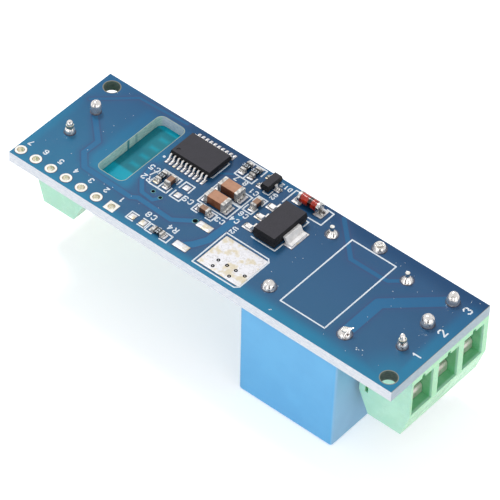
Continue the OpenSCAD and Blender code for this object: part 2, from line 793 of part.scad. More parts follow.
module solder_output() {
    color("silver") for (i = [0 : output_poles - 1])
        solder_joint(leg_place(POLES[i]), leg_d, leg_out, OUTPUT_JOINTS[i]);
}

module solder_relay() {
    color("silver") {
        for (p = COIL_PINS) solder_joint(p, coil_pin_d, coil_pin_out, COIL_JOINT);
        for (p = CONTACT_PINS) solder_joint(p, contact_pin_d, contact_pin_out, CONTACT_JOINT);
    }
}

// Radio module, soldered flat under the board with its parts facing down
module radio_board() {
    color("teal") difference() {
        translate([radio_x0, radio_y - radio_w / 2, radio_z0]) cube([radio_l, radio_w, radio_t]);
        for (c = CASTLES)
            translate([c[0], c[1], radio_z0 - 1]) cylinder(r = castle_r, h = radio_t + 2, $fn = 24);
    }
}

// Solder in each half hole, rising a little on the board's underside
module radio_solder() {
    height = radio_t + radio_gap - castle_lip;
    color("silver") for (c = CASTLES)
        translate([c[0], c[1], 0]) rotate([0, 0, c[2]]) intersection() {
            translate([0, 0, radio_z0 + castle_lip])
                cylinder(r1 = castle_r, r2 = castle_r + castle_foot, h = height, $fn = 24);
            union() {
                translate([0, -1, radio_z0]) cube([1, 2, radio_t + radio_gap]);
                translate([0, 0, radio_z0]) cylinder(r = castle_r, h = radio_t + radio_gap, $fn = 24);
            }
        }
}

// Aerial: a copper track that goes back and forth across the end of the module
module radio_aerial() {
    x0 = radio_x0 + aerial_inset;
    y0 = radio_y + aerial_off - (aerial_n - 1) / 2 * aerial_step;
    color("goldenrod") translate([0, 0, radio_z0 - aerial_t]) {
        for (i = [0 : aerial_n - 1])
            translate([x0, y0 + i * aerial_step - aerial_w / 2, 0])
                cube([i == 0 ? aerial_run + aerial_feed : aerial_run, aerial_w, aerial_t]);
        for (i = [0 : aerial_n - 2])
            translate([i % 2 == 0 ? x0 : x0 + aerial_run - aerial_w, y0 + i * aerial_step, 0])
                cube([aerial_w, aerial_step, aerial_t]);
    }
}

// A flat package on the radio module's lower face
module radio_part(part) {
    size = part[2];
    translate([radio_x0 + part[0], radio_y + part[1], radio_z0 - size[2]])
        linear_extrude(size[2]) polygon(round_rect(size[0], size[1], part[3]));
}

module radio_chip() {
    color("dimgray") radio_part(RADIO_CHIP);
}

module radio_crystal() {
    color("silver") radio_part(RADIO_CRYSTAL);
}

module radio_clock_crystal() {
    color("silver") radio_part(RADIO_CLOCK);
}

// Capacitors, coils and resistors beside the radio chip
module radio_passives() {
    color("peru") for (p = RADIO_SMALL_AT) radio_part([p[0], p[1], RADIO_SMALL, RADIO_SMALL_R]);
}

// A moulded package body whose four sides lean in above and below its parting line
module moulded_body(size, z0) {
    half = size[2] / 2;
    translate([0, 0, z0]) intersection() {
        rotate([90, 0, 0]) translate([0, 0, -size[1]]) linear_extrude(2 * size[1])
            polygon(lean_section(size[0], half));
        rotate([90, 0, 90]) translate([0, 0, -size[0]]) linear_extrude(2 * size[0])
            polygon(lean_section(size[1], half));
    }
}

function lean_section(w, half) = [
    [-w / 2 + body_draft, 0], [w / 2 - body_draft, 0], [w / 2, half],
    [w / 2 - body_draft, 2 * half], [body_draft - w / 2, 2 * half], [-w / 2, half]
];

// A gull-wing lead that leaves its body at height h, reaches out and ends in a foot on its
// land; it points along +X
module gull_lead(width, reach, foot, t, h) {
    out = (reach - foot) * lead_rise;
    slope = (reach - foot) * (1 - lead_rise);
    translate([0, width / 2, 0]) rotate([90, 0, 0]) linear_extrude(width) polygon([
        [0, h - t / 2], [out - t / 2, h - t / 2], [out + slope - t / 2, 0], [reach, 0],
        [reach, t], [out + slope + t / 2, t], [out + t / 2, h + t / 2], [0, h + t / 2]
    ]);
}

function controller_lead_x(i) = (i - (controller_n - 1) / 2) * controller_pitch;

// Controller body, with a round recess in its top beside the first lead
module controller_body() {
    color("dimgray") translate([controller_at[0], controller_at[1], 0]) difference() {
        moulded_body([controller_l, controller_w, controller_h], seat_z + chip_gap);
        translate([
            controller_mark_inset - controller_l / 2,
            controller_mark_inset - controller_w / 2,
            seat_z + chip_gap + controller_h - controller_mark_depth
        ])
            cylinder(d = controller_mark_d, h = 1);
    }
}

module controller_leads() {
    color("silver") for (i = [0 : controller_n - 1], side = [-1, 1])
        translate([
            controller_at[0] + controller_lead_x(i),
            controller_at[1] + side * controller_w / 2,
            seat_z
        ])
            rotate([0, 0, side * 90])
                gull_lead(controller_lead_w, controller_reach, controller_foot, lead_t,
                    chip_gap + controller_h / 2);
}

module regulator_body() {
    color("dimgray") translate([regulator_at[0], regulator_at[1], 0])
        moulded_body([regulator_w, regulator_l, regulator_h], seat_z + chip_gap);
}

module regulator_leads() {
    color("silver") for (i = [-1 : 1])
        translate([regulator_at[0] - regulator_w / 2, regulator_at[1] + i * regulator_pitch, seat_z])
            rotate([0, 0, 180])
                gull_lead(regulator_lead_w, regulator_reach, regulator_foot, regulator_lead_t,
                    chip_gap + regulator_h / 2);
}

module regulator_tab() {
    color("silver") translate([regulator_at[0] + regulator_w / 2, regulator_at[1], seat_z])
        gull_lead(regulator_tab_w, regulator_tab_reach, regulator_tab_foot, regulator_lead_t,
            chip_gap + regulator_h / 2);
}

module transistor_body() {
    color("dimgray") translate([transistor_at[0], transistor_at[1], 0])
        moulded_body([transistor_w, transistor_l, transistor_h], seat_z + chip_gap);
}

// Two leads on one side, one in the middle of the other
module transistor_leads() {
    color("silver") for (p = TRANSISTOR_LEADS)
        translate([
            transistor_at[0] + p[0] * transistor_w / 2,
            transistor_at[1] + p[1] * transistor_pitch / 2,
            seat_z
        ])
            rotate([0, 0, p[0] < 0 ? 180 : 0])
                gull_lead(transistor_lead_w, transistor_reach, transistor_foot, lead_t,
                    chip_gap + transistor_h / 2);
}

// Glass diode: a glass tube between two plated end caps
module diode_glass() {
    r = diode_d / 2 - glass_inset;
    len = diode_l - 2 * cap_len;
    color("tomato") on_diode() translate([0, 0, -len / 2]) cylinder(r = r, h = len);
}

module diode_caps() {
    r = diode_d / 2;
    color("silver") on_diode() for (side = [0, 1]) mirror([0, 0, side])
        translate([0, 0, diode_l / 2 - cap_len]) rotate_extrude() polygon(concat(
            [[0, 0], [r, 0]], arc(r - cap_edge_r, cap_len - cap_edge_r, cap_edge_r, 0, 90),
            [[0, cap_len]]));
}

module on_diode() {
    translate([diode_at[0], diode_at[1], seat_z + diode_d / 2]) rotate([0, 90, 0]) children();
}

// Middle of a ceramic chip part, between its ends
module chip_middle(part, size, end) {
    translate([part[0][0], part[0][1], seat_z + end_skin]) rotate([0, 0, part[1]])
        translate([end - size[0] / 2, 0, size[2] / 2]) rotate([90, 0, 90])
            linear_extrude(size[0] - 2 * end) polygon(round_rect(size[1], size[2], chip_edge_r));
}

// The two plated ends of a chip part
module chip_ends(part, size, end) {
    skin = 2 * end_skin;
    translate([part[0][0], part[0][1], seat_z]) rotate([0, 0, part[1]]) for (side = [-1, 1])
        translate([side * (size[0] - end) / 2 - end / 2, 0, size[2] / 2 + end_skin])
            rotate([90, 0, 90]) linear_extrude(end)
                polygon(round_rect(size[1] + skin, size[2] + skin, chip_edge_r + end_skin));
}

module bulk_capacitor(i) {
    color("peru") chip_middle(BULK[i], BULK_SIZE, bulk_end);
}

module capacitor(i) {
    color("peru") chip_middle(SMALL_CAPS[i], CAP_SIZE, small_end);
}

module resistor(i) {
    color("dimgray") chip_middle(RESISTORS[i], RES_SIZE, small_end);
}

module capacitor_ends() {
    color("lightgray") {
        for (part = BULK) chip_ends(part, BULK_SIZE, bulk_end);
        for (part = SMALL_CAPS) chip_ends(part, CAP_SIZE, small_end);
    }
}

module resistor_ends() {
    color("lightgray") for (part = RESISTORS) chip_ends(part, RES_SIZE, small_end);
}

circuit_board();
header_sleeves();
copper_lands();
relay_case();
relay_base();
relay_coil_pins();
relay_contact_pins();
relay_bobbin();
relay_winding();
relay_yoke();
relay_armature();
relay_spring();
output_housing();
power_housing();
contact(0);  // contact_1
contact(1);  // contact_2
contact(2);  // contact_3
contact(3);  // contact_4
contact(4);  // contact_5
wire_guard(0);  // wire_guard_1
wire_guard(1);  // wire_guard_2
wire_guard(2);  // wire_guard_3
wire_guard(3);  // wire_guard_4
wire_guard(4);  // wire_guard_5
clamp_screw(0);  // clamp_screw_1
clamp_screw(1);  // clamp_screw_2
clamp_screw(2);  // clamp_screw_3
clamp_screw(3);  // clamp_screw_4
clamp_screw(4);  // clamp_screw_5
solder_power();
solder_output();
solder_relay();
radio_board();
radio_aerial();
radio_chip();
radio_crystal();
radio_clock_crystal();
radio_passives();
radio_solder();
controller_body();
controller_leads();
regulator_body();
regulator_leads();
regulator_tab();
transistor_body();
transistor_leads();
diode_glass();
diode_caps();
bulk_capacitor(0);  // bulk_capacitor_1
bulk_capacitor(1);  // bulk_capacitor_2
capacitor(0);  // capacitor_1
capacitor(1);  // capacitor_2
capacitor(2);  // capacitor_3
capacitor_ends();
resistor(0);  // resistor_1
resistor(1);  // resistor_2
resistor(2);  // resistor_3
resistor(3);  // resistor_4
resistor_ends();
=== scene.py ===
import math
from random import Random

import bmesh
import bpy
from mathutils import Matrix, Vector, noise


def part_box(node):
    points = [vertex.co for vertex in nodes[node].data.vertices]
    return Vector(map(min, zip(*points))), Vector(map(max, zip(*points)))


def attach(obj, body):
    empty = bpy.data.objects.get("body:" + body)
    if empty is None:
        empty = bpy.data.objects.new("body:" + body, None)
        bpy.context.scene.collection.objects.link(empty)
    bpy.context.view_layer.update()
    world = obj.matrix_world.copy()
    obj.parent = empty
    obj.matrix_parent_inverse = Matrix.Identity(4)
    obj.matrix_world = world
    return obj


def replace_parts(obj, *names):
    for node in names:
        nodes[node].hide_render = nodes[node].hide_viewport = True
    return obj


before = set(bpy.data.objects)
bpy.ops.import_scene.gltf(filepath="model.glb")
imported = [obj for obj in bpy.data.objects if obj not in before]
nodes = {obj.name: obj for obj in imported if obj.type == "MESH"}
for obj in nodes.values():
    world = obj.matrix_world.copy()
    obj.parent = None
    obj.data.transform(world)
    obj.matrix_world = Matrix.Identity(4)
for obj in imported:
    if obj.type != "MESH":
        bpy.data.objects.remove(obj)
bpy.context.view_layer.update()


# Circuit board
# A strip of glass-fibre laminate with copper on both faces under a blue solder mask. It was
# milled from a panel, so its edges and its window show the pale bare fibre. The tracks are
# etched in the copper and show through the mask as lighter bands with a thin dark border.
MM = 0.001
board_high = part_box("circuit_board")[1]
half_l, half_w = board_high.x / MM, board_high.y / MM
top_z = board_high.z / MM
HOLE_PLACES = ((-half_l + 1.8, half_w - 1.75), (half_l - 1.8, -half_w + 1.75))
HOLE_R = 1.1
WINDOW_MIDDLE, WINDOW_HALF, WINDOW_CORNER = (-18.95, 2.0), (2.2, 6.3), 0.9
# Where there is no copper under the mask: the middle and half size of each stretch or the place
# of each corner, then how far from it the copper is whole again and how near it is all gone
BARE_STRETCHES = (((17.5, -10.5), (14.0, 0.5), 3.2, 0.9), ((-1.5, 9.8), (4.3, 0.8), 0.9, 0.1))
BARE_CORNERS = ((half_l, -half_w, 8.5, 1.5), (-half_l, -half_w, 4.5, 1.0), (-half_l, half_w, 7.0, 1.0))
# Each track: its width, then its corners
BOARD_TRACKS = (
    (0.75, ((-27.2, 2.4), (-23.85, -0.8), (-23.93, -3.4), (-22.1, -5.4), (-14.3, -5.55),
            (-13.5, -5.0), (-7.9, -5.2), (-5.7, -3.5))),
    (0.6, ((-15.9, 0.6), (-15.2, -2.3), (-13.8, -3.9), (-11.9, -4.1), (-11.4, -3.3))),
    (0.45, ((-29.8, 4.4), (-25.2, 8.8), (-17.5, 9.2))),
    (0.65, ((8.1, 9.4), (10.9, 6.7), (13.2, 4.45), (17.7, 4.46), (19.0, 4.6), (20.5, 6.0))),
    (1.7, ((20.55, -5.5), (20.57, 0.9), (26.5, 6.6))),
    (1.1, ((-1.8, 0.9), (-2.1, -4.8), (-3.0, -6.6), (-3.9, -7.6))),
    (0.4, ((-8.6, 5.2), (-7.2, 6.3))),
)


def colour(text):
    """A written sRGB colour such as "3f6f96" as the linear values that a shader reads."""
    parts = [int(text[i:i + 2], 16) / 255 for i in (0, 2, 4)]
    return [*(c / 12.92 if c < 0.04045 else ((c + 0.055) / 1.055) ** 2.4 for c in parts), 1]


def add(tree, kind, settings=None, inputs=None):
    """Adds a node; an input is given a value, or linked where a socket is given."""
    made = tree.nodes.new(kind)
    for name, value in (settings or {}).items():
        setattr(made, name, value)
    for key, value in (inputs or {}).items():
        if isinstance(value, bpy.types.NodeSocket):
            tree.links.new(value, made.inputs[key])
        else:
            made.inputs[key].default_value = value
    return made


def calc(tree, operation, *values, clamp=False):
    """A sum on numbers."""
    return add(tree, "ShaderNodeMath", {"operation": operation, "use_clamp": clamp},
               dict(enumerate(values))).outputs[0]


def times(tree, a, b):
    return calc(tree, "MULTIPLY", a, b)


def apart(tree, a, b):
    """How far apart two numbers are."""
    return calc(tree, "ABSOLUTE", calc(tree, "SUBTRACT", a, b))


def parts(tree, vector):
    """The x, y and z of a vector."""
    return add(tree, "ShaderNodeSeparateXYZ", {}, {0: vector}).outputs


def arrow(tree, operation, *values):
    """A sum on vectors; the ones that give a number use the node's second output."""
    made = add(tree, "ShaderNodeVectorMath", {"operation": operation}, dict(enumerate(values)))
    return made.outputs[1 if operation in ("LENGTH", "DISTANCE", "DOT_PRODUCT") else 0]


def scaled(tree, vector, factor):
    return add(tree, "ShaderNodeVectorMath", {"operation": "SCALE"},
               {0: vector, "Scale": factor}).outputs[0]


def blend(tree, factor, a, b):
    """A mix of two colours, each made by nodes or written."""
    a, b = (colour(shade) if isinstance(shade, str) else shade for shade in (a, b))
    return add(tree, "ShaderNodeMix", {"data_type": "RGBA"}, {0: factor, 6: a, 7: b}).outputs[2]


def between(tree, factor, a, b):
    """A mix of two numbers."""
    return add(tree, "ShaderNodeMix", {}, {0: factor, 2: a, 3: b}).outputs[0]


def ramp(tree, value, zero_at, one_at):
    """Smooth from 0 to 1 between two values, in either direction."""
    return add(tree, "ShaderNodeMapRange", {"interpolation_type": "SMOOTHSTEP"},
               {"Value": value, "From Min": zero_at, "From Max": one_at}).outputs[0]


def largest(tree, *values):
    most = values[0]
    for value in values[1:]:
        most = calc(tree, "MAXIMUM", most, value)
    return most


def empty_group(name, inputs, outputs):
    """A shader group with named sockets, and what stands at its two ends."""
    tree = bpy.data.node_groups.new(name, "ShaderNodeTree")
    for title, kind in inputs.items():
        tree.interface.new_socket(title, in_out="INPUT", socket_type="NodeSocket" + kind)
    for title in outputs:
        tree.interface.new_socket(title, in_out="OUTPUT", socket_type="NodeSocketFloat")
    return tree, add(tree, "NodeGroupInput").outputs, add(tree, "NodeGroupOutput").inputs


def surface_life_group():
    """Fine grain and broad blotches, from 0 to 1, for any finish; sizes are in millimetres."""
    tree, given, results = empty_group(
        "surface_life", {"Place": "Vector", "Grain size": "Float", "Blotch size": "Float"},
        ("Grain", "Blotch"))
    for title, size, detail in (("Grain", "Grain size", 2.0), ("Blotch", "Blotch size", 3.0)):
        scale = calc(tree, "DIVIDE", 1.0, given[size])
        cloud = add(tree, "ShaderNodeTexNoise", {}, {
            "Vector": given["Place"], "Scale": scale, "Detail": detail, "Roughness": 0.55})
        tree.links.new(ramp(tree, cloud.outputs[0], 0.3, 0.7), results[title])
    return tree


def facing_group():
    """Which way a surface looks: up, flat (up or down), and along X, each from 0 to 1."""
    tree, given, results = empty_group("facing", {}, ("Up", "Flat", "Endways"))
    normal = add(tree, "ShaderNodeNewGeometry").outputs["Normal"]
    x, y, z = parts(tree, normal)
    tree.links.new(ramp(tree, z, 0.4, 0.8), results["Up"])
    tree.links.new(ramp(tree, calc(tree, "ABSOLUTE", z), 0.4, 0.6), results["Flat"])
    tree.links.new(ramp(tree, calc(tree, "ABSOLUTE", x), 0.4, 0.8), results["Endways"])
    return tree


def near_stroke_group():
    """The lesser of a distance so far and the distance to a straight stroke with round ends."""
    tree, given, results = empty_group("near_stroke", {
        "Place": "Vector", "From": "Vector", "To": "Vector", "Half width": "Float",
        "So far": "Float"}, ("Distance",))
    level = arrow(tree, "MULTIPLY", given["Place"], (1, 1, 0))
    start = arrow(tree, "SUBTRACT", level, given["From"])
    run = arrow(tree, "SUBTRACT", given["To"], given["From"])
    share = calc(tree, "DIVIDE", arrow(tree, "DOT_PRODUCT", start, run),
                 arrow(tree, "DOT_PRODUCT", run, run), clamp=True)
    away = arrow(tree, "DISTANCE", start, scaled(tree, run, share))
    outside = calc(tree, "SUBTRACT", away, given["Half width"])
    tree.links.new(calc(tree, "MINIMUM", outside, given["So far"]), results["Distance"])
    return tree


def near_rectangle_group():
    """Distance outside an upright rectangle with round corners; it is negative inside."""
    tree, given, results = empty_group("near_rectangle", {
        "Place": "Vector", "Middle": "Vector", "Half size": "Vector", "Corner": "Float"},
        ("Distance",))
    centred = arrow(tree, "MULTIPLY", arrow(tree, "SUBTRACT", given["Place"], given["Middle"]), (1, 1, 0))
    corner = add(tree, "ShaderNodeCombineXYZ", {}, {0: given["Corner"], 1: given["Corner"]}).outputs[0]
    beyond = arrow(tree, "ADD", corner, arrow(
        tree, "SUBTRACT", arrow(tree, "ABSOLUTE", centred), given["Half size"]))
    outside = arrow(tree, "LENGTH", arrow(tree, "MAXIMUM", beyond, (0, 0, 0)))
    x, y, z = parts(tree, beyond)
    inside = calc(tree, "MINIMUM", calc(tree, "MAXIMUM", x, y), 0.0)
    total = calc(tree, "ADD", outside, inside)
    tree.links.new(calc(tree, "SUBTRACT", total, given["Corner"]), results["Distance"])
    return tree


surface_life = surface_life_group()
facing = facing_group()
near_stroke = near_stroke_group()
near_rectangle = near_rectangle_group()


class Finish:
    """A material under way, with the place in millimetres, grain, blotches and facing masks."""

    def __init__(self, name, grain_size=0.1, blotch_size=3.0):
        self.material = bpy.data.materials.new(name)
        self.material.use_nodes = True
        self.tree = self.material.node_tree
        self.shader = self.tree.nodes["Principled BSDF"]
        where = add(self.tree, "ShaderNodeTexCoord").outputs["Object"]
        self.place = scaled(self.tree, where, 1 / MM)
        life = add(self.tree, "ShaderNodeGroup", {"node_tree": surface_life}, {
            "Place": self.place, "Grain size": grain_size, "Blotch size": blotch_size})
        self.grain, self.blotch = life.outputs
        looks = add(self.tree, "ShaderNodeGroup", {"node_tree": facing})
        self.up, self.flat, self.endways = looks.outputs

    def set(self, **values):
        """Sets or links the shader's inputs; Base_Color stands for Base Color."""
        for name, value in values.items():
            socket = self.shader.inputs[name.replace("_", " ")]
            if isinstance(value, bpy.types.NodeSocket):
                self.tree.links.new(value, socket)
            else:
                socket.default_value = value

    def roughen(self, low, high):
        """Roughness that follows the grain and the blotches."""
        self.set(Roughness=between(self.tree, between(self.tree, 0.5, self.grain, self.blotch), low, high))

    def bump(self, height, depth_mm):
        made = add(self.tree, "ShaderNodeBump", {}, {"Height": height, "Distance": depth_mm * MM})
        self.set(Normal=made.outputs[0])

    def mottle(self, dark, light):
        """A colour that drifts between two with the blotches."""
        return blend(self.tree, self.blotch, dark, light)

    def two_tone(self, mask, first, second):
        """Mottled from the first two colours where the mask is 0, from the second where it is 1."""
        return blend(self.tree, mask, self.mottle(*first), self.mottle(*second))

    def rectangle(self, middle, half, corner=0.0):
        """Distance outside a rectangle of the board."""
        return add(self.tree, "ShaderNodeGroup", {"node_tree": near_rectangle}, {
            "Place": self.place, "Middle": (*middle, 0), "Half size": (*half, 0),
            "Corner": corner}).outputs[0]

    def point(self, x, y):
        """Distance from an upright line through a point of the board."""
        level = arrow(self.tree, "MULTIPLY", self.place, (1, 1, 0))
        return arrow(self.tree, "DISTANCE", level, (x, y, 0))

    def plain(self, base, roughness, depth_mm, relief=None, **values):
        """A colour or two shades to mottle, a spread of roughness, and a relief in the grain."""
        made = isinstance(base, bpy.types.NodeSocket)
        self.set(Base_Color=base if made else self.mottle(*base), **values)
        self.roughen(*roughness)
        self.bump(relief or self.grain, depth_mm)
        return self

    def on(self, *names):
        """Puts the finish on CAD nodes."""
        for name in names:
            nodes[name].data.materials.clear()
            nodes[name].data.materials.append(self.material)


def mask_colour(made):
    """The blue mask as it looks over copper, over bare laminate and over the tracks."""
    tree = made.tree
    x, y, z = parts(tree, made.place)
    # A painted sheen: the mask, its bare stretches and the tracks are lighter near the front and darker
    # towards the far edge
    painted_sheen_fade = ramp(tree, y, -6.0, 9.5)
    pour = blend(tree, painted_sheen_fade, "2b5f86", "22527c")
    bare = blend(tree, painted_sheen_fade, "1682a9", "0a6190")
    # The copper also stops short of the board's edges and of the aerial
    inner = made.rectangle((-0.4, 0.2), (half_l - 1.4, half_w - 0.8), 1.0)
    aerial_gap = made.rectangle((-19.3, 2.2), (3.9, 8.2), 0.8)
    gone = [ramp(tree, inner, -0.7, 0.7), ramp(tree, aerial_gap, 0.5, -0.9)]
    for middle, half, whole_at, gone_at in BARE_STRETCHES:
        gone.append(ramp(tree, made.rectangle(middle, half), whole_at, gone_at))
    for corner_x, corner_y, whole_at, gone_at in BARE_CORNERS:
        gone.append(ramp(tree, made.point(corner_x, corner_y), whole_at, gone_at))
    mask = blend(tree, times(tree, largest(tree, *gone), 0.9), pour, bare)
    leftward = times(tree, ramp(tree, x, -10.0, -24.0), 0.5)
    mask = blend(tree, leftward, mask, bare)
    mask = blend(tree, times(tree, made.blotch, 0.25), mask, "305f8c")
    # The far edge is darker, though not beside the transistor
    far_edge = times(tree, ramp(tree, y, 6.6, 9.4), ramp(tree, x, -31.0, -12.0))
    away = ramp(tree, apart(tree, x, -1.2), 2.8, 5.0)
    mask = blend(tree, times(tree, far_edge, away), mask, "084370")
    # The tracks, each with a dark border and a wider soft shade round it
    so_far = 9.0
    for width, corners in BOARD_TRACKS:
        for (x0, y0), (x1, y1) in zip(corners, corners[1:]):
            so_far = add(tree, "ShaderNodeGroup", {"node_tree": near_stroke}, {
                "Place": made.place, "From": (x0, y0, 0), "To": (x1, y1, 0), "Half width": width / 2,
                "So far": so_far}).outputs[0]
    halo = times(tree, ramp(tree, so_far, 1.1, 0.0), 0.35)
    border = times(tree, ramp(tree, apart(tree, so_far, 0.1), 0.18, 0.02), 0.5)
    mask = blend(tree, halo, mask, "35527f")
    mask = blend(tree, border, mask, "364d78")
    track = blend(tree, painted_sheen_fade, "256f9d", "1c6291")
    return blend(tree, ramp(tree, so_far, 0.06, -0.1), mask, track)


def laminate_colour(made, fibre, edge, hole):
    """Bare fibre on the outer edges, in the window and in the two holes, where it is darkened as painted
    shade.
    """
    tree = made.tree
    x, y, z = parts(tree, made.place)
    # The board's ends are painted darker than its long sides, and the window's long and short walls in
    # their own tones, as painted light and shade on each face
    side = blend(tree, fibre, "d3dae6", "f2f4f8")
    end = blend(tree, fibre, "a9bac6", "c3d0d8")
    outer = blend(tree, made.endways, side, end)
    long_wall = blend(tree, fibre, "8ebab2", "cfe3da")
    # A nick where the mill came in shows the mask's colour in the long wall
    for middle, strength in ((1.95, 0.9), (3.5, 0.45)):
        nick = ramp(tree, apart(tree, y, middle), 0.3, 0.12)
        long_wall = blend(tree, times(tree, nick, strength), long_wall, "1f7f8c")
    short_wall = blend(tree, fibre, "a3b4c6", "d6dbe4")
    window = blend(tree, made.endways, short_wall, long_wall)
    bore_painted_shade = blend(tree, fibre, "3c5250", "66756c")
    inner = blend(tree, ramp(tree, hole, HOLE_R + 0.6, HOLE_R + 0.3), window, bore_painted_shade)
    return blend(tree, ramp(tree, edge, -0.3, -0.15), inner, outer)


def board_finish():
    """Mask on the faces, bare laminate on every cut."""
    made = Finish("board_mask_and_laminate", 0.06, 7.0)
    tree = made.tree
    edge = made.rectangle((0, 0), (half_l, half_w))
    hole = calc(tree, "MINIMUM", made.point(*HOLE_PLACES[0]), made.point(*HOLE_PLACES[1]))
    window = made.rectangle(WINDOW_MIDDLE, WINDOW_HALF, WINDOW_CORNER)
    stretch = arrow(tree, "MULTIPLY", made.place, (1.2, 1.2, 9))
    fibre = add(tree, "ShaderNodeTexNoise", {}, {
        "Vector": stretch, "Scale": 1.6, "Detail": 5.0, "Roughness": 0.7}).outputs[0]
    fibre = ramp(tree, fibre, 0.35, 0.65)
    mask = mask_colour(made)
    # Where the mill broke through the mask the laminate shows as a pale line
    end_line = ramp(tree, made.rectangle((-0.5, 0), (half_l + 0.5, half_w + 1)), -0.1, -0.02)
    torn = largest(tree, ramp(tree, hole, HOLE_R + 0.16, HOLE_R + 0.06), end_line)
    mask = blend(tree, times(tree, torn, 0.8), mask, "9d9273")
    mask = blend(tree, ramp(tree, window, 0.11, 0.03), mask, "b9c4ae")
    made.set(Base_Color=blend(tree, made.flat, laminate_colour(made, fibre, edge, hole), mask),
             Specular_IOR_Level=0.3)
    made.set(Roughness=between(tree, made.flat, 0.72, between(tree, made.grain, 0.16, 0.22)))
    made.bump(between(tree, made.flat, fibre, made.grain), 0.003)
    made.on("circuit_board")


board_finish()


# Painted lines and lettering
# White ink printed on the mask through a screen, about 40 micrometres thick: part outlines,
# pin numbers and plain reference marks. The long frame beside the relay's pins stays empty.
INK_OUTLINES = (
    ((-14.25, 0), (-14.25, 1.05), (-11.35, 1.05), (-11.35, 0)),
    ((-14.25, -1), (-14.25, -2.08), (-11.4, -2.08), (-11.4, -0.95)),
    ((-12.83, -2.05), (-12.83, -0.95)),
    ((-10.8, -0.18), (-10.78, 1.15), (-9.32, 1.15), (-9.3, -0.2)),
    ((-10.8, -0.85), (-10.8, -2.1), (-9.25, -2.1), (-9.25, -0.85)),
    ((-9.15, 7.24), (-8.84, 7.24), (-8.83, 3.93), (-9.15, 3.93)),
    ((-9.23, 8.02), (-9.23, 8.22)),
    ((-7.2, 8.5), (-7.2, 9.4), (-4.38, 9.4), (-4.38, 8.18)),
    ((-5.85, 9.4), (-5.85, 8.36)),
    ((-7.28, 7.4), (-7.28, 6.38), (-4.44, 6.38), (-4.44, 7.45)),
    ((-5.88, 6.4), (-5.88, 7.4)),
    ((-4.4, 4.55), (-2.74, 4.55), (-2.8, -0.4), (-7.62, -0.4), (-7.62, 4.55), (-6.9, 4.55)),
    ((-6.3, -0.8), (-7.2, -0.8), (-7.2, -2.1), (-6.3, -2.1)),
    ((-4.9, -0.8), (-4.0, -0.8), (-4.0, -2.1), (-4.9, -2.1)),
    ((-2.4, 4.2), (-2.38, 5.33), (-0.95, 5.33), (-0.94, 4.2)),
    ((-2.4, 3.26), (-2.42, 2.17), (-1.01, 2.17), (-1.0, 3.39)),
    ((-2.45, 6.6), (-2.45, 6.2), (-1.58, 6.24), (-1.57, 7.06)),
    ((0.48, 6.54), (0.52, 9.25), (1.4, 9.3)),
    ((5.6, 9.2), (6.7, 9.13), (6.7, 6.54), (4.66, 6.5)),
    ((1.5, -0.76), (5.26, -0.76), (5.27, 0.76)),
    ((4.55, 5.9), (5.24, 5.9), (5.22, 4.89)),
    ((-1.2, -8.93), (-1.22, -2.3), (5.6, -2.35), (6.05, -2.8), (6.03, -8.4), (5.55, -8.9), (-1.2, -8.93)),
    ((-11.3, -7.3), (-12.4, -7.3), (-12.4, -8.6), (-11.3, -8.6)),
    ((-10.5, -7.3), (-9.45, -7.3), (-9.45, -8.6), (-10.5, -8.6)),
    ((-8.1, -7.35), (-9.2, -7.35), (-9.2, -8.7), (-8.1, -8.7)),
    ((-6.8, -7.35), (-5.7, -7.35), (-5.7, -8.7), (-6.8, -8.7)),
    ((11.23, -6.82), (11.23, 7.17), (18.23, 7.17), (18.23, -6.82), (11.23, -6.82)),
    ((-15.0, -0.9), (-14.75, 0.1)),
)
THICK_OUTLINE = ((-4.5, 2.25), (-2.85, 2.23))
FIRST_PIN_DOT = ((-15.83, 2.75),)
# Each sign is drawn in straight strokes on a grid four wide and six high
STROKES = {
    "C": "45 36 16 05 01 10 30 41", "D": "00 06 26 45 41 20 00", "Q": "16 36 45 41 30 10 01 05 16|22 40",
    "R": "00 06 36 45 44 33 03|23 40", "U": "06 01 10 30 41 46", "1": "15 26 20",
    "2": "05 16 36 45 44 00 40", "3": "05 16 36 45 44 33 42 41 30 10 01", "4": "30 36 02 42",
    "5": "46 06 04 34 43 41 30 10 01", "6": "45 36 16 05 01 10 30 41 42 33 03", "7": "06 46 10",
    "8": "13 04 05 16 36 45 44 33 13 02 01 10 30 41 42 33", "9": "01 10 30 41 45 36 16 05 04 13 43",
}
# Marks: the middle of each, its height, and its turn where it isn't read from the far side
PIN_PITCH, POLE_PITCH = 2.54, 5
PIN_NUMBERS = tuple((str(i + 1), -14.75 - i * PIN_PITCH, -6.65, 0.72) for i in range(7))
POLE_NUMBERS = tuple((str(i + 1), 29.5, -2.875 + i * POLE_PITCH, 1.1, 90) for i in range(3))
REFERENCE_MARKS = (
    ("R2", -15.0, -1.6, 0.78), ("C5", -15.3, 0.3, 0.78), ("C9", -8.5, -1.2, 0.78),
    ("C8", -10.1, -6.35, 0.78), ("R4", -6.6, -6.3, 0.78), ("C3", -3.2, -1.28, 0.68),
    ("C4", -1.93, 0.05, 0.68), ("C6", -1.66, 1.45, 0.68), ("C1", -3.3, 5.4, 0.68),
    ("7", -6.5, 5.85, 0.66), ("8", -5.07, 5.88, 0.66), ("U2", -0.85, -1.4, 0.6, 270),
    ("Q2", -0.93, 6.5, 0.55, 270), ("D12", -0.79, 8.74, 0.58),
)
LETTER_PITCH, LETTER_WIDTH = 1.13, 0.155
INK_HEIGHT = 0.04
# Levels over the mask of what lies on it, a little apart so that no two faces coincide
INK_LEVEL, BORDER_LEVEL, JOINT_SHADOW_LEVEL = top_z + 0.002, top_z + 0.003, top_z + 0.002


def shape(tree, kind, inputs, settings=None):
    """Adds a geometry node and gives its first output."""
    return add(tree, "GeometryNode" + kind, settings, inputs).outputs[0]


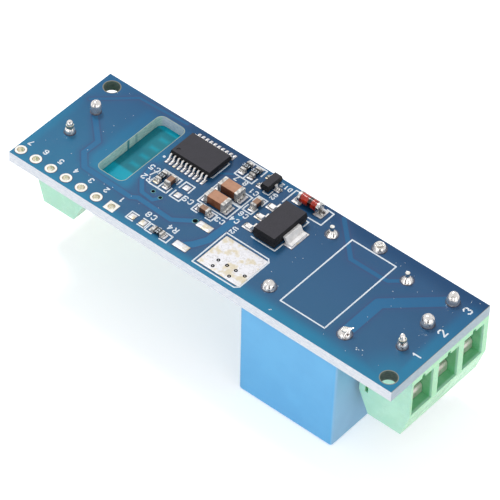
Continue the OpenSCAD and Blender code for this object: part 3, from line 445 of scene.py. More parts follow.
def piece_tree(name, geometry, *numbers):
    """A geometry tree with named inputs, and what stands at its start."""
    tree = bpy.data.node_groups.new(name, "GeometryNodeTree")
    tree.interface.new_socket(geometry, in_out="INPUT", socket_type="NodeSocketGeometry")
    for title in (*numbers, "Level"):
        tree.interface.new_socket(title, in_out="INPUT", socket_type="NodeSocketFloat")
    tree.interface.new_socket("Finish", in_out="INPUT", socket_type="NodeSocketMaterial")
    tree.interface.new_socket("Piece", in_out="OUTPUT", socket_type="NodeSocketGeometry")
    return tree, add(tree, "NodeGroupInput").outputs


def close_tree(tree, given, made):
    """Lifts what was made to its level, makes it real and gives it its finish."""
    lift = add(tree, "ShaderNodeCombineXYZ", {}, {2: given["Level"]}).outputs[0]
    placed = shape(tree, "Transform", {"Geometry": made, "Translation": lift})
    real = shape(tree, "RealizeInstances", {0: placed})
    painted = shape(tree, "SetMaterial", {"Geometry": real, "Material": given["Finish"]})
    tree.links.new(painted, add(tree, "NodeGroupOutput").inputs[0])
    return tree


def stroke_tree():
    """Turns a mesh of edges into flat strips with round joins and ends."""
    tree, given = piece_tree("ink_strokes", "Lines", "Width", "Height")
    curve = shape(tree, "MeshToCurve", {"Mesh": given["Lines"]})
    level = shape(tree, "SetCurveNormal", {"Curve": curve}, {"mode": "Z_UP"})
    section = shape(tree, "CurvePrimitiveQuadrilateral", {
        "Width": given["Width"], "Height": given["Height"]})
    strip = shape(tree, "CurveToMesh", {"Curve": level, "Profile Curve": section, "Fill Caps": True})
    # The joins stand a little prouder than the strips, so that no two faces coincide
    disc = shape(tree, "MeshCylinder", {
        "Vertices": 12, "Radius": times(tree, given["Width"], 0.5),
        "Depth": times(tree, given["Height"], 1.2)})
    corners = shape(tree, "MergeByDistance", {"Geometry": given["Lines"], "Distance": 0.02 * MM})
    ends = shape(tree, "InstanceOnPoints", {"Points": corners, "Instance": disc})
    both = add(tree, "GeometryNodeJoinGeometry")
    tree.links.new(ends, both.inputs[0])
    tree.links.new(strip, both.inputs[0])
    return close_tree(tree, given, both.outputs[0])


def linked(name, data):
    """A new object of the scene, at the origin, for a mesh, a lamp or a camera."""
    made = bpy.data.objects.new(name, data)
    bpy.context.scene.collection.objects.link(made)
    return made


def settle(name, mesh):
    """Names a finished mesh, puts it in the scene and rides it on the board."""
    mesh.name = name
    piece = linked(name, mesh)
    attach(piece, "board")
    return piece


def plain_mesh(source, add_modifiers):
    """The mesh that an object's modifiers make of a source mesh."""
    holder = linked("source", source)
    add_modifiers(holder)
    bpy.context.view_layer.update()
    mesh = bpy.data.meshes.new_from_object(holder.evaluated_get(bpy.context.evaluated_depsgraph_get()))
    holder.modifiers.clear()
    bpy.data.objects.remove(holder)
    return mesh


def grow(name, source, tree, finish, slot, **sizes):
    """Runs a geometry tree on a mesh and keeps the result as a plain piece; sizes in millimetres."""
    values = {title: size * MM for title, size in sizes.items()}
    values["Finish"] = finish.material

    def add_tree(holder):
        modifier = holder.modifiers.new("grow", "NODES")
        modifier.node_group = tree
        for item in tree.interface.items_tree:
            if item.in_out == "INPUT" and item.name in values:
                modifier[item.identifier] = values[item.name]

    return settle(name, plain_mesh(source, add_tree))


def lines_mesh(lines):
    """Separate edges from lists of points in millimetres, each a hair above the one before it,
    so that no two strokes lie in one plane where they cross."""
    points, edges = [], []
    for line in lines:
        for start, end in zip(line, line[1:] or line):
            level = 0.002 * MM * (len(edges) % 5)
            points += [(x * MM, y * MM, level) for x, y in (start, end)]
            edges.append((len(points) - 2, len(points) - 1))
    mesh = bpy.data.meshes.new("lines")
    mesh.from_pydata(points, edges, [])
    return mesh


def word_lines(word, x, y, height, turn=180):
    """The strokes of a word, centred on a place of the board and turned from reading along X."""
    pitch, wide, tall = height * LETTER_PITCH, height * LETTER_WIDTH, height / 6
    start = -(len(word) - 1) / 2 * pitch - 2 * wide
    c, s = math.cos(math.radians(turn)), math.sin(math.radians(turn))
    lines = []
    for i, letter in enumerate(word):
        for stroke in STROKES[letter].split("|"):
            points = []
            for pair in stroke.split():
                u = start + i * pitch + int(pair[0]) * wide
                v = (int(pair[1]) - 3) * tall
                points.append((x + u * c - v * s, y + u * s + v * c))
            lines.append(points)
    return lines


ink = Finish("white_ink", 0.05, 0.6).plain(("e0eaf4", "f4f9fd"), (0.45, 0.65), 0.003)
strokes = stroke_tree()
small_words = [line for word in PIN_NUMBERS + REFERENCE_MARKS for line in word_lines(*word)]
large_words = [line for word in POLE_NUMBERS for line in word_lines(*word)]
for name, lines, width in (
        ("ink_outlines", INK_OUTLINES, 0.2), ("ink_divider", [THICK_OUTLINE], 0.42),
        ("ink_first_pin_dot", [FIRST_PIN_DOT], 0.4), ("ink_lettering", small_words, 0.165),
        ("ink_pole_names", large_words, 0.21)):
    grow(name, lines_mesh(lines), strokes, ink, "board", Width=width, Height=INK_HEIGHT, Level=INK_LEVEL)


# Lands, sleeves and vias
# Copper left free of mask and dipped in tin: round lands with sleeves for the header pins,
# rectangular lands for the small parts with a crowned skin of tin, and small plated holes.
# The mask stops a little short of each land, and the dark border round it is painted shade at the mask's
# edge.
VIA_PLACES = ((-12.8, -2.89), (-11.4, -3.16))
LARGE_VIA_PLACES = ((-5.46, -3.35),)
LAND_VIA_PLACES = ((1.13, -6.66), (1.24, -7.88), (2.52, -6.64), (3.9, -6.6), (3.9, -7.89), (5.33, -6.59))


def solids(name):
    """The lowest and highest corners of each separate solid of a CAD node, in millimetres."""
    work = bmesh.new()
    work.from_mesh(nodes[name].data)
    bmesh.ops.remove_doubles(work, verts=work.verts, dist=0.001 * MM)
    left, found = set(work.verts), []
    while left:
        group, edge = [], [left.pop()]
        while edge:
            vert = edge.pop()
            group.append(vert)
            for near in (e.other_vert(vert) for e in vert.link_edges):
                if near in left:
                    left.remove(near)
                    edge.append(near)
        found.append(([min(v.co[i] for v in group) / MM for i in range(3)],
                      [max(v.co[i] for v in group) / MM for i in range(3)], len(group)))
    work.free()
    return sorted(found)


def plan(low, high):
    """The middle of a box along X and Y, then its length and its width."""
    return (low[0] + high[0]) / 2, (low[1] + high[1]) / 2, high[0] - low[0], high[1] - low[1]


def span_of(tree):
    """The length, width and height that each point carries."""
    return shape(tree, "InputNamedAttribute", {"Name": "span"}, {"data_type": "FLOAT_VECTOR"})


def stand_on(tree, given, thing, size=(1, 1, 1)):
    """A copy of a thing on every point."""
    return shape(tree, "InstanceOnPoints", {"Points": given["Points"], "Instance": thing, "Scale": size})


def plate_tree():
    """A thin plate on every point, as large as the point's span and a margin."""
    tree, given = piece_tree("land_borders", "Points", "Margin", "Height")
    margin = add(tree, "ShaderNodeCombineXYZ", {}, {
        0: given["Margin"], 1: given["Margin"], 2: given["Height"]}).outputs[0]
    size = arrow(tree, "ADD", arrow(tree, "MULTIPLY", span_of(tree), (1, 1, 0)), margin)
    plate = shape(tree, "MeshCube", {"Size": (1, 1, 1)})
    return close_tree(tree, given, stand_on(tree, given, plate, size))


def ring_tree():
    """A flattened ring on every point; with a width of twice its radius it is a disc."""
    tree, given = piece_tree("plated_rings", "Points", "Radius", "Width")
    path = shape(tree, "CurvePrimitiveCircle", {"Resolution": 24, "Radius": given["Radius"]})
    wire = shape(tree, "CurvePrimitiveCircle", {
        "Resolution": 8, "Radius": times(tree, given["Width"], 0.5)})
    ring = shape(tree, "CurveToMesh", {"Curve": path, "Profile Curve": wire})
    low = shape(tree, "Transform", {"Geometry": ring, "Scale": (1, 1, 0.12)})
    return close_tree(tree, given, stand_on(tree, given, low))


def bead_tree():
    """A flat bead on every point, with the point's span as its three radii."""
    tree, given = piece_tree("flat_beads", "Points")
    bead = shape(tree, "MeshIcoSphere", {"Radius": 1.0, "Subdivisions": 2})
    return close_tree(tree, given, stand_on(tree, given, bead, span_of(tree)))


def points_mesh(places, spans=None, height=0.01):
    """Loose points in millimetres, each with the length and width of what stands on it."""
    mesh = bpy.data.meshes.new("points")
    mesh.from_pydata([(x * MM, y * MM, 0) for x, y in places], [], [])
    if spans:
        layer = mesh.attributes.new("span", "FLOAT_VECTOR", "POINT")
        for item, (length, width) in zip(layer.data, spans):
            item.vector = (length * MM, width * MM, height * MM)
    return mesh


def crowned_mesh(plots, level):
    """A low uneven cushion on each plot, which is its middle, its length and its width."""
    mesh, points, faces = bpy.data.meshes.new("crowned"), [], []
    for x, y, length, width in plots:
        rise = 0.02 if length > 4 else 0.06
        nx, ny = (max(4, round(size / 0.12)) for size in (length, width))
        start = len(points)
        for j in range(ny + 1):
            for i in range(nx + 1):
                u, v = 2 * i / nx - 1, 2 * j / ny - 1
                wave = noise.noise(Vector((x + u * length, y + v * width, 3.0)) * 1.3)
                fall = (1 - u ** 6) * (1 - v ** 6)
                crown = level + rise * fall ** 0.5 * (0.75 + 0.5 * wave)
                points.append(((x + u * length / 2) * MM, (y + v * width / 2) * MM, crown * MM))
        for j in range(ny):
            for i in range(nx):
                a = start + j * (nx + 1) + i
                faces.append((a, a + 1, a + nx + 2, a + nx + 1))
    mesh.from_pydata(points, [], faces)
    return mesh


border = Finish("mask_edge_shadow", 0.05, 0.5).plain(("16243f", "22365c"), (0.4, 0.6), 0.002)
tin = Finish("tinned_land", 0.12, 1.6)
tin_skin = blend(tin.tree, ramp(tin.tree, tin.blotch, 0.0, 0.45), "d3c7ac", "e1e0e4")
# Thin grey lines on the tin are painted reflections of its wavy surface
painted_contour_reflection = ramp(tin.tree, apart(tin.tree, tin.blotch, 0.62), 0.05, 0.01)
tin_skin = blend(tin.tree, times(tin.tree, painted_contour_reflection, 0.5), tin_skin, "a39d95")
tin.plain(tin_skin, (0.3, 0.45), 0.004, Metallic=0.2).on("copper_lands")
sleeve = Finish("tinned_sleeve", 0.1, 0.5)
# The sleeves' inner walls are painted a darker beige than their flat rings, as painted shade
sleeve_skin = sleeve.two_tone(sleeve.flat, ("d8d0bd", "f6f1e6"), ("f7f3ea", "fffdf8"))
sleeve.plain(sleeve_skin, (0.16, 0.3), 0.01, sleeve.blotch,
             Metallic=between(sleeve.tree, sleeve.flat, 0.95, 0.1)).on("header_sleeves")

plates, rings, beads = plate_tree(), ring_tree(), bead_tree()
land_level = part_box("copper_lands")[1].z / MM
# A rectangular land has eight corners, and a round one more
land_boxes = [plan(low, high) for low, high, corners in solids("copper_lands") if corners == 8]
grow("land_borders", points_mesh([b[:2] for b in land_boxes], [b[2:] for b in land_boxes]), plates,
     border, "board", Margin=0.18, Height=0.004, Level=BORDER_LEVEL)
pin_holes = [plan(low, high)[:2] for low, high, corners in solids("header_sleeves")]
grow("header_borders", points_mesh(pin_holes), rings, border, "board",
     Radius=0.79, Width=0.14, Level=BORDER_LEVEL)
crowns = crowned_mesh(land_boxes, land_level)
crowns.materials.append(tin.material)
crowns.shade_smooth()
settle("land_tin", crowns)

# Via holes are drawn as dark discs and rings: painted shade in the holes
hole_dark = Finish("hole_shadow", 0.1, 0.5).plain(
    ("050608", "101418"), (0.7, 0.9), 0.002, Specular_IOR_Level=0.05)
teal_rim = Finish("mask_over_via", 0.05, 0.4).plain(("3f8c92", "6fb0a8"), (0.25, 0.4), 0.002)
for name, places, radius in (("board_vias", VIA_PLACES, 0.24), ("large_vias", LARGE_VIA_PLACES, 0.34)):
    grow(name + "_rims", points_mesh(places), rings, teal_rim, "board",
         Radius=radius, Width=0.16, Level=BORDER_LEVEL)
    grow(name, points_mesh(places), rings, hole_dark, "board",
         Radius=radius / 2, Width=radius, Level=top_z + 0.012)
grow("land_vias", points_mesh(LAND_VIA_PLACES), rings, hole_dark, "tinned_copper",
     Radius=0.17, Width=0.17, Level=land_level + 0.028)


# Solder joints
# Tin solder that wetted each pin and its land and froze bright: a wide foot under a ball or a
# waist, each joint a little different. The same solder fills the angle beside every chip end.
# Each outline is radius and level pairs from the foot to the tip
POWER_DOME = ((0.64, 0), (0.67, 0.3), (0.72, 0.7), (0.73, 1.05), (0.64, 1.4), (0.4, 1.7), (0, 1.84))
POWER_KNOB = ((0.68, 0), (0.7, 0.25), (0.66, 0.55), (0.5, 0.9), (0.41, 1.15), (0.44, 1.45), (0.38, 1.7),
              (0.2, 1.88), (0, 1.93))
EGG = ((0.84, 0), (0.86, 0.25), (0.84, 0.6), (0.74, 1.0), (0.54, 1.35), (0.24, 1.58), (0, 1.64))
BALL = ((0.85, 0), (0.89, 0.25), (0.9, 0.6), (0.82, 0.98), (0.62, 1.32), (0.3, 1.55), (0, 1.6))
BOTTLE = ((0.7, 0), (0.71, 0.3), (0.65, 0.65), (0.54, 0.98), (0.43, 1.28), (0.36, 1.55), (0.32, 1.8),
          (0.18, 1.98), (0, 2.03))
LOW_DOME = ((0.93, 0), (0.9, 0.15), (0.81, 0.42), (0.63, 0.74), (0.36, 0.99), (0.1, 1.1), (0, 1.12))
SPIKE = ((0.95, 0), (0.92, 0.12), (0.83, 0.35), (0.66, 0.6), (0.45, 0.8), (0.24, 0.95), (0.1, 1.06),
         (0, 1.12))
RINGED_DOME = ((0.94, 0), (0.91, 0.12), (0.85, 0.32), (0.74, 0.55), (0.6, 0.68), (0.47, 0.56),
               (0.36, 0.66), (0.28, 0.95), (0, 1.06))
PIN_DOME = ((0.83, 0), (0.78, 0.12), (0.64, 0.33), (0.46, 0.55), (0.34, 0.7), (0.1, 0.78), (0, 0.78))
# Each joint: its node, its place, its outline, how far its tip leans along and across, and
# where a crease runs down it, in degrees
JOINTS = (
    ("solder_power", -27.7, 3.14, POWER_DOME, (0.0, 0.05), -55),
    ("solder_power", -27.7, -1.86, POWER_KNOB, (-0.05, 0.05), -30),
    ("solder_output", 27.2, -2.875, BOTTLE, (-0.16, 0.1), -70),
    ("solder_output", 27.2, 2.125, BALL, (0.0, 0.0), 20),
    ("solder_output", 27.2, 7.125, EGG, (-0.05, 0.08), -62),
    ("solder_relay", 8.7, -5.95, LOW_DOME, (0.05, 0.05), -100),
    ("solder_relay", 20.7, -5.95, SPIKE, (0.86, 0.8), -50),
    ("solder_relay", 14.7, 8.25, RINGED_DOME, (0.0, 0.0), 110),
    ("solder_relay", 8.7, 6.25, PIN_DOME, (0.0, 0.0), -40),
    ("solder_relay", 20.7, 6.25, PIN_DOME, (0.05, 0.0), -65),
)
CREASE_DEPTH, CREASE_SPREAD = 0.17, 10
# How far solder reaches below the board's top, so that it has no gap under it
SUNK = 0.02


def curved(points, share):
    """A place on the smooth line through the points, from 0 at the first to 1 at the last."""
    at = share * (len(points) - 1)
    i = min(int(at), len(points) - 2)
    t = at - i
    p = [points[min(max(j, 0), len(points) - 1)] for j in (i - 1, i, i + 1, i + 2)]
    return [0.5 * (2 * b + (c - a) * t + (2 * a - 5 * b + 4 * c - d) * t ** 2
                   + (3 * b - a - 3 * c + d) * t ** 3) for a, b, c, d in zip(*p)]


def frozen_joint(x, y, outline, lean, crease):
    """One joint in millimetres: its outline turned about the pin, leant, creased and uneven."""
    around, rows = 36, 34
    top = outline[-1][1]
    points, faces = [], []
    for j in range(rows):
        radius, level = curved(outline, j / rows)
        if j == 0:
            level = -SUNK
        drift = (max(level, 0) / top) ** 4
        for i in range(around):
            angle = 2 * math.pi * i / around
            c, s = math.cos(angle), math.sin(angle)
            off = (math.degrees(angle) - crease + 180) % 360 - 180
            fold = 1 - CREASE_DEPTH * math.exp(-(off / CREASE_SPREAD) ** 2) * min(1, j / 8)
            lump = 1 + 0.07 * noise.noise(Vector((c + x, s + y, level * 1.5))) * min(1, j / 4)
            points.append((x + radius * fold * lump * c + lean[0] * drift,
                           y + radius * fold * lump * s + lean[1] * drift, top_z + level))
    points += [(x, y, top_z - SUNK), (x + lean[0], y + lean[1], top_z + top)]
    last = (rows - 1) * around
    for i in range(around):
        after = (i + 1) % around
        for start in range(0, last, around):
            faces.append((start + i, start + after, start + after + around, start + i + around))
        faces += [(after, i, len(points) - 2), (last + i, last + after, len(points) - 1)]
    return points, faces


def joined_mesh(shapes):
    """One smooth mesh, in metres, of several sets of points and faces in millimetres."""
    mesh, points, faces = bpy.data.meshes.new("joined"), [], []
    for some, around in shapes:
        faces += [[index + len(points) for index in face] for face in around]
        points += [(x * MM, y * MM, z * MM) for x, y, z in some]
    mesh.from_pydata(points, [], faces)
    mesh.shade_smooth()
    return mesh


def melted(lobes, wobble):
    """Ellipsoids in millimetres run together into one skin, cut off just under the board's top."""
    work = bmesh.new()
    for x, y, z, rx, ry, rz in lobes:
        place = Matrix.Translation((x, y, top_z + z)) @ Matrix.Diagonal((rx, ry, rz, 1))
        bmesh.ops.create_uvsphere(work, u_segments=16, v_segments=10, radius=1, matrix=place)
    source = bpy.data.meshes.new("lobes")
    work.to_mesh(source)
    work.free()

    def melt(holder):
        remesh = holder.modifiers.new("run_together", "REMESH")
        remesh.mode = "VOXEL"
        remesh.voxel_size = 0.06
        smooth = holder.modifiers.new("smooth", "SMOOTH")
        smooth.factor = 0.5
        smooth.iterations = 3

    mesh = plain_mesh(source, melt)
    for vert in mesh.vertices:
        vert.co += vert.normal * wobble * noise.noise(vert.co * 1.7)
    work = bmesh.new()
    work.from_mesh(mesh)
    bmesh.ops.bisect_plane(work, geom=[*work.verts, *work.edges, *work.faces], dist=1e-5,
                           plane_co=(0, 0, top_z - SUNK), plane_no=(0, 0, -1), clear_outer=True)
    bmesh.ops.holes_fill(work, edges=[e for e in work.edges if e.is_boundary], sides=0)
    work.verts.index_update()
    skin = [tuple(v.co) for v in work.verts], [[v.index for v in f.verts] for f in work.faces]
    work.free()
    return skin


solder = Finish("bright_solder", 0.3, 0.45)
# Dark patches in the solder's colour are partly dross and partly painted dark reflections
dross_and_dark_reflection = ramp(solder.tree, solder.blotch, 0.86, 1.0)
solder_skin = blend(solder.tree, dross_and_dark_reflection, solder.mottle("d6d0cb", "ece8e5"), "5d4d48")
solder.plain(solder_skin, (0.1, 0.18), 0.012, solder.blotch, Metallic=0.75).on("radio_solder")
for name in ("solder_power", "solder_output", "solder_relay"):
    mesh = joined_mesh([frozen_joint(*joint[1:]) for joint in JOINTS if joint[0] == name])
    mesh.materials.append(solder.material)
    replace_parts(settle(name + "_joints", mesh), name)
# A flat dark disc round the foot of every joint is a painted shadow of the joint on the mask
joint_shadow_radii = [outline[0][0] + 0.16 for name, x, y, outline, lean, crease in JOINTS]
joint_shadow_spots = points_mesh([joint[1:3] for joint in JOINTS], [(radius, radius) for radius in joint_shadow_radii])
grow("joint_painted_shadows", joint_shadow_spots, beads, border, "board", Level=JOINT_SHADOW_LEVEL)

# Where a lead's end has solder on its land: its place, and the width of the lead
LEAD_ENDS = ((-0.2, 0.25, 0.32), (-0.2, 2.55, 0.32), (-0.2, 4.85, 0.32), (-3.6, 6.8, 0.25),
             (-3.6, 8.7, 0.25), (-1.05, 7.75, 0.25), (1.62, 8.2, 0.5), (5.6, 8.2, 0.5))


def fillets():
    """Solder against the outer face of every chip end and round the leads' ends."""
    random = Random(7)
    found = []
    for low, high, corners in solids("capacitor_ends") + solids("resistor_ends"):
        plot = plan(low, high)
        near = min(land_boxes, key=lambda b: math.dist(b[:2], plot[:2]))
        # An end is wide across its chip and looks out along it
        wide = 1 if plot[3] > plot[2] else 0
        out = 1 - wide
        half = plot[2 + wide] / 2
        rise = 0.22 + 0.25 * (high[2] - low[2])
        place, radii = [0, 0], [half * 0.5, half * 0.5]
        place[out] = (high if near[out] >= plot[out] else low)[out]
        lobes = []
        for share in (-0.55, 0, 0.55):
            place[wide] = plot[wide] + share * half + random.uniform(-0.05, 0.05)
            radii[out] = 0.26 * random.uniform(0.8, 1.25)
            lobes.append((*place, 0.05, *radii, rise * random.uniform(0.7, 1.1)))
        found.append(melted(lobes, 0.05))
    for x, y, wide in LEAD_ENDS:
        lobes = []
        for share in (-0.5, 0.5):
            jog = random.uniform(-0.06, 0.06)
            size = 0.3 * random.uniform(0.8, 1.15)
            tall = 0.34 * random.uniform(0.8, 1.1)
            lobes.append((x + jog, y + share * wide, 0.04, size, wide * 0.6, tall))
        found.append(melted(lobes, 0.06))
    return found


chip_solder = Finish("chip_solder", 0.12, 0.35)
# As on the joints, dark patches are partly dross and partly painted dark reflections
dross_and_dark_reflection = ramp(chip_solder.tree, chip_solder.blotch, 0.6, 0.9)
chip_skin = blend(chip_solder.tree, dross_and_dark_reflection, chip_solder.mottle("a9a5a0", "dddad6"), "4b4646")
chip_solder.plain(chip_skin, (0.14, 0.28), 0.04, chip_solder.blotch, Metallic=0.9)
fillet_mesh = joined_mesh(fillets())
fillet_mesh.materials.append(chip_solder.material)
settle("chip_solder", fillet_mesh)


# Flux specks
# Tiny beads and flakes that the flux and the solder left on the mask when the board was
# soldered and washed.
SPECK_COUNT = 70
SMEAR_PLACES = ((23.35, -7.0), (23.6, -6.85), (23.2, -6.75), (11.2, -8.9), (11.35, -8.75), (24.0, -6.6))

specks = Random(11)
speck_places, speck_sizes = list(SMEAR_PLACES), [(0.12, 0.07)] * len(SMEAR_PLACES)
while len(speck_places) < SPECK_COUNT:
    place = (specks.uniform(-29, 30), specks.uniform(-8.8, 9.2))
    clear_of_parts = place[0] > 7 or place[0] < -22 or abs(place[1] + 5.5) < 1.2
    if clear_of_parts and not (11 < place[0] < 18.5 and place[1] < 5):
        size = specks.uniform(0.025, 0.06)
        speck_places.append(place)
        speck_sizes.append((size, size * specks.uniform(0.7, 1.2)))
speck_finish = Finish("flux_speck", 0.05, 0.3).plain(("9fb6c6", "f4f8fa"), (0.3, 0.5), 0.002)
grow("flux_specks", points_mesh(speck_places, speck_sizes, 0.03), beads, speck_finish, "board",
     Level=top_z)


# Relay
# A sealed cube relay: a blue moulded cover, a base with five tinned pins, and inside them the
# coil, yoke, armature and contact spring. The cover's ends are painted a little greyer than its
# sides, as painted light.
cover = Finish("relay_cover_plastic", 0.05, 4.0)
cover.plain(cover.two_tone(cover.endways, ("5cb0e6", "62b6ea"), ("84b7dd", "8cbee2")), (0.3, 0.38), 0.003)
cover.on("relay_case")
Finish("relay_base_plastic", 0.1, 2.0).plain(("1d4f8e", "235a9c"), (0.4, 0.6), 0.01).on("relay_base")
Finish("tinned_pin", 0.08, 0.6).plain(("cfccc5", "e9e6e0"), (0.15, 0.3), 0.004, Metallic=1.0).on(
    "relay_coil_pins", "relay_contact_pins")
Finish("bobbin_plastic", 0.1, 2.0).plain(("d8d2c4", "e6e1d4"), (0.5, 0.6), 0.004).on("relay_bobbin")
wire = Finish("enamelled_wire", 0.2, 2.0)
wire_z = parts(wire.tree, wire.place)[2]
turns = calc(wire.tree, "SINE", times(wire.tree, wire_z, 60.0))
wire.plain(("8a3f1c", "c06a34"), (0.3, 0.4), 0.03, turns, Metallic=0.9).on("relay_winding")
Finish("plated_iron", 0.1, 2.0).plain(("8e8d8a", "a8a7a3"), (0.35, 0.5), 0.005, Metallic=1.0).on(
    "relay_yoke", "relay_armature")
Finish("bronze_strip", 0.1, 1.5).plain(("b98a4e", "cfa468"), (0.25, 0.35), 0.003, Metallic=1.0).on(
    "relay_spring")


# Terminal blocks
# Two green moulded housings with the wire entries at the board's ends. Each pole holds a bent
# tinned contact, a plated steel wire guard and a slotted clamp screw.
green = Finish("terminal_plastic", 0.06, 3.0)
inside = []
for housing in ("output_housing", "power_housing"):
    low, high = (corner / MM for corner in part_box(housing))
    middle, half = (low + high) / 2, (high - low) / 2
    inside.append(green.rectangle(middle.xy, half.xy))
# Deeper green inside the wire entries is painted shade, and the housings' ends are painted a greener tone
# than their sides, as painted light
entry_painted_shade = ramp(green.tree, calc(green.tree, "MINIMUM", *inside), -0.15, -0.5)
entry_painted_shade = times(green.tree, entry_painted_shade, calc(green.tree, "SUBTRACT", 1.0, green.endways))
green_skin = green.two_tone(green.endways, ("b4e9cf", "bdefd6"), ("acebbb", "b5f0c4"))
green_skin = blend(green.tree, entry_painted_shade, green_skin, green.mottle("70c48b", "80cf9a"))
green.plain(green_skin, (0.22, 0.32), 0.004, Subsurface_Weight=0.12, Subsurface_Scale=0.4 * MM)
green.on("output_housing", "power_housing")
Finish("tinned_brass", 0.08, 1.0).plain(("a9ab9c", "c6c8b8"), (0.28, 0.42), 0.006, Metallic=1.0).on(
    *("contact_%d" % i for i in range(1, 6)))
Finish("nickel_plated_steel", 0.07, 1.2).plain(("dccdc8", "f2e6e1"), (0.25, 0.4), 0.006, Metallic=0.7).on(
    *("wire_guard_%d" % i for i in range(1, 6)), *("clamp_screw_%d" % i for i in range(1, 6)))


# Radio module
# A small board soldered flat under the window. Its aerial is a copper track that goes back and
# forth on its lower face and shows through the laminate as grey bars; the chip, two crystal
# cans and small parts face down.
AERIAL_ROWS = (-0.45, 1.45, 3.35, 5.25, 7.15)
AERIAL_GAP_X, AERIAL_GAP_HALF = -18.8, 0.8


def radio_finish():
    """Bright mask, darker where the aerial's copper shows through, and bare laminate round it."""
    made = Finish("radio_module_mask", 0.08, 4.0)
    tree = made.tree
    x, y, z = parts(tree, made.place)
    bright = made.mottle("02a2bd", "10b0c8")
    copper = made.mottle("1a7081", "247a88")
    # Copper lies under the whole patch that the rows span, except between two rows
    patch = ramp(tree, made.rectangle((-16.0, 3.35), (6.2, 4.25), 0.2), 0.25, -0.25)
    to_gap = 9.0
    for row in AERIAL_ROWS[:-1]:
        gap = made.rectangle((AERIAL_GAP_X, row + 0.95), (AERIAL_GAP_HALF, 0.42), 0.15)
        to_gap = calc(tree, "MINIMUM", to_gap, gap)
    covered = times(tree, patch, ramp(tree, to_gap, -0.9, 0.25))
    face = blend(tree, times(tree, covered, 0.85), bright, copper)
    side = blend(tree, made.grain, "a8a98c", "c6c8ae")
    skin = blend(tree, made.flat, side, face)
    made.plain(skin, (0.2, 0.26), 0.003, Specular_IOR_Level=0.2).on("radio_board")


radio_finish()
Finish("aerial_copper", 0.05, 1.0).plain(("c8953e", "deb468"), (0.25, 0.35), 0.003, Metallic=0.9).on(
    "radio_aerial")
Finish("crystal_can_steel", 0.06, 1.0).plain(("b9bbbd", "d3d5d6"), (0.2, 0.32), 0.004, Metallic=1.0).on(
    "radio_crystal", "radio_clock_crystal")


# Chips and their leads
# Bodies of black moulding compound, fine-grained from the mould, on tinned leads bent down
# to the lands.
epoxy = Finish("moulding_compound", 0.05, 1.5)
# The bodies' sides are painted darker than their tops, as painted shade
epoxy.plain(epoxy.two_tone(epoxy.up, ("0e0d10", "161518"), ("2c2a31", "35333a")), (0.42, 0.6), 0.006,
            Specular_IOR_Level=0.25)
epoxy.on("controller_body", "regulator_body", "transistor_body", "radio_chip")
Finish("tinned_lead", 0.06, 0.5).plain(("cbc6c3", "e8e5e2"), (0.25, 0.4), 0.003, Metallic=0.65).on(
    "controller_leads", "regulator_leads", "transistor_leads")
Finish("tinned_tab", 0.08, 0.9).plain(("dedbd9", "eeeceb"), (0.35, 0.5), 0.004, Metallic=0.15).on(
    "regulator_tab")


# Ceramic chip parts
# Capacitors are brown ceramic blocks and resistors black glazed ones with a printed number,
# both with tinned ends.
# The middle of each number, and its turn
RESISTOR_PRINT = ((-6.7, 8.05, 0), (-5.25, 8.05, 0), (-13.6, -0.35, 0), (-7.5, -8.0, 90))
# The sides of each ceramic are painted darker than its top, as painted shade
for name, blotch_size, sides, tops, where in (
        ("brown_ceramic", 0.8, ("6b3c20", "7e4a28"), ("b07c5e", "bf8a6a"),
         ("bulk_capacitor_1", "bulk_capacitor_2", "radio_passives")),
        ("dark_ceramic", 0.5, ("3c2415", "4e301c"), ("8d6850", "a37c62"),
         ("capacitor_1", "capacitor_2", "capacitor_3"))):
    ceramic = Finish(name, 0.05, blotch_size)
    ceramic.plain(ceramic.two_tone(ceramic.up, sides, tops), (0.4, 0.55), 0.006).on(*where)
chip_tin = Finish("tinned_chip_end", 0.08, 0.4)
chip_tin.plain(("8f8c89", "c9c6c2"), (0.3, 0.5), 0.015, chip_tin.blotch, Metallic=0.6).on(
    "capacitor_ends", "resistor_ends")
Finish("resistor_glaze", 0.05, 0.6).plain(("101012", "1c1c1f"), (0.25, 0.35), 0.004).on(
    "resistor_1", "resistor_2", "resistor_3", "resistor_4")
print_lines = [line for x, y, turn in RESISTOR_PRINT for line in word_lines("331", x, y, 0.36, turn)]
grow("resistor_print", lines_mesh(print_lines), strokes, ink, "resistor_black",
     Width=0.06, Height=0.02, Level=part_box("resistor_1")[1].z / MM + 0.004)


# Glass diode
# A glass tube over a dark die and red lead beads, with plated caps that are soldered down.
diode = Finish("diode_glass_and_beads", 0.1, 0.7)
diode_low, diode_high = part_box("diode_glass")
die_x = (diode_low.x + diode_high.x) / 2 / MM + 0.2
from_die = apart(diode.tree, parts(diode.tree, diode.place)[0], die_x)
red = diode.mottle("7c150c", "cf3a20")
diode.plain(blend(diode.tree, ramp(diode.tree, from_die, 0.12, 0.45), "1a0708", red), (0.15, 0.25), 0.03,
            diode.blotch, Coat_Weight=0.4, Coat_Roughness=0.04, Specular_IOR_Level=0.3).on("diode_glass")
cap_steel = Finish("diode_cap_plating", 0.06, 0.5)
cap_steel.plain(("a5a4a3", "dddcda"), (0.15, 0.3), 0.01, cap_steel.blotch, Metallic=1.0).on("diode_caps")


# Table, light and camera
# A plain pale table, a soft sky, a key lamp behind the object, two wide soft boxes low in
# front with a dark stand between them, and the camera where the photograph was taken from.
AZIMUTH, ELEVATION, ROLL = (math.radians(a) for a in (38.08, 45.536, 2.712))
TARGET = Vector((2.88, -2.67, 16.8)) * MM
DISTANCE = 534.08 * MM
SENSOR_WIDTH, LENS = 36, 310.4

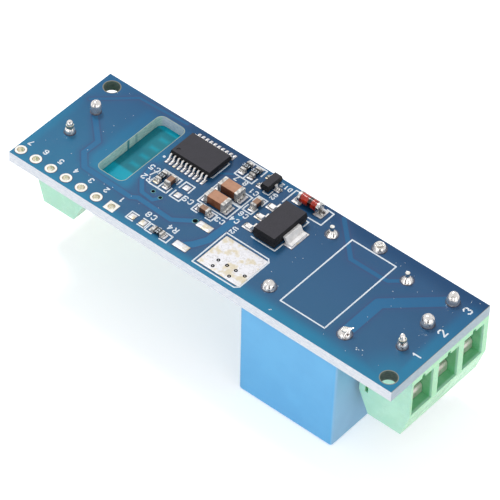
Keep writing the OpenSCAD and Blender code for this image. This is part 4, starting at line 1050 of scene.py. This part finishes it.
KEY_PLACE, KEY_SIZE, KEY_RADIANCE = Vector((-0.664, 0.321, 1.07)), (0.25, 0.25), 32
BOX_TURN, BOX_RISE = math.radians(36), math.radians(17)
BOX_SIZE, BOX_RADIANCE = (0.95, 0.5), 1.6
STAND_AWAY, STAND_HALF_WIDTH, STAND_HEIGHT = 0.8, 0.22, 0.8
TABLE_HALF, TABLE_Z = 3, -0.03 * MM
SKY_TINT = (0.97, 0.985, 1, 1)
# Rays that reach the eye see the table and the sky brighter than the objects on it do
EXTRA_TO_EYE, SKY_LIGHT = 0.45, 0.55


def ray_to_eye(tree):
    """One for camera, glossy and transmission rays, and nothing for the rest."""
    seen = add(tree, "ShaderNodeLightPath").outputs
    return largest(tree, seen["Is Camera Ray"], seen["Is Glossy Ray"], seen["Is Transmission Ray"])


def card(name, corners, finish):
    """A flat four-sided card of the stage."""
    mesh = bpy.data.meshes.new(name)
    mesh.from_pydata(corners, [], [(0, 1, 2, 3)])
    mesh.materials.append(finish.material)
    made = linked(name, mesh)
    return made


paper = Finish("table_paper", 1.0, 80.0)
paper.set(Base_Color=paper.mottle("f8f8f8", "fbfbfb"))
paper.roughen(0.85, 0.95)
# The table is clear from below, so that the object's lower side can be looked at
under = add(paper.tree, "ShaderNodeNewGeometry").outputs["Backfacing"]
paper.set(Alpha=calc(paper.tree, "SUBTRACT", 1.0, under), Emission_Color=(1, 1, 1, 1),
          Emission_Strength=times(paper.tree, ray_to_eye(paper.tree), EXTRA_TO_EYE))
around = ((-1, -1), (1, -1), (1, 1), (-1, 1))
card("table", [(x * TABLE_HALF, y * TABLE_HALF, TABLE_Z) for x, y in around], paper)

world = bpy.data.worlds.new("soft_sky")
world.use_nodes = True
sky = world.node_tree
sky.nodes["Background"].inputs[0].default_value = SKY_TINT
strength = calc(sky, "MULTIPLY_ADD", ray_to_eye(sky), EXTRA_TO_EYE, SKY_LIGHT)
sky.links.new(strength, sky.nodes["Background"].inputs[1])
bpy.context.scene.world = world


def from_angles(azimuth, elevation, distance):
    """A place at a distance from the origin, with the azimuth counted as the camera's is."""
    flat = math.cos(elevation)
    return Vector((math.sin(azimuth) * flat, -math.cos(azimuth) * flat, math.sin(elevation))) * distance


def soft_box(name, place, size, radiance):
    """A rectangular lamp that faces the origin and is equally bright at any size."""
    lamp = bpy.data.lights.new(name, "AREA")
    lamp.shape = "RECTANGLE"
    lamp.size, lamp.size_y = size
    lamp.energy = radiance * math.pi * size[0] * size[1]
    holder = linked(name, lamp)
    holder.location = place
    holder.rotation_euler = (-Vector(place)).to_track_quat("-Z", "Y").to_euler()
    holder.visible_camera = False


soft_box("key_box", KEY_PLACE, KEY_SIZE, KEY_RADIANCE)
for side, name in ((-1, "left_box"), (1, "right_box")):
    soft_box(name, from_angles(AZIMUTH + side * BOX_TURN, BOX_RISE, 1.0), BOX_SIZE, BOX_RADIANCE)

right = Vector((math.cos(AZIMUTH), math.sin(AZIMUTH), 0))
cloth = Finish("dark_cloth", 1.0, 40.0)
cloth.set(Base_Color=cloth.mottle("0c0c0c", "161616"))
cloth.roughen(0.8, 0.9)
foot = from_angles(AZIMUTH, 0, STAND_AWAY)
stand = card("dark_stand", [
    foot + right * side * STAND_HALF_WIDTH + Vector((0, 0, level))
    for side, level in ((-1, 0), (1, 0), (1, STAND_HEIGHT), (-1, STAND_HEIGHT))], cloth)
# Only mirror-like surfaces see the stand
stand.visible_camera = False
stand.visible_diffuse = False
stand.visible_shadow = False

back = from_angles(AZIMUTH, ELEVATION, 1)
up = back.cross(right)
tilted_right = right * math.cos(ROLL) + up * math.sin(ROLL)
tilted_up = back.cross(tilted_right)
camera = bpy.data.cameras.new("camera")
camera.sensor_width, camera.lens = SENSOR_WIDTH, LENS
camera.clip_start, camera.clip_end = 0.01, 20
holder = linked("camera", camera)
holder.matrix_world = Matrix.Translation(TARGET + back * DISTANCE) @ Matrix(
    (tilted_right, tilted_up, back)).transposed().to_4x4()
bpy.context.scene.camera = holder
bpy.context.scene.view_settings.view_transform = "Standard"
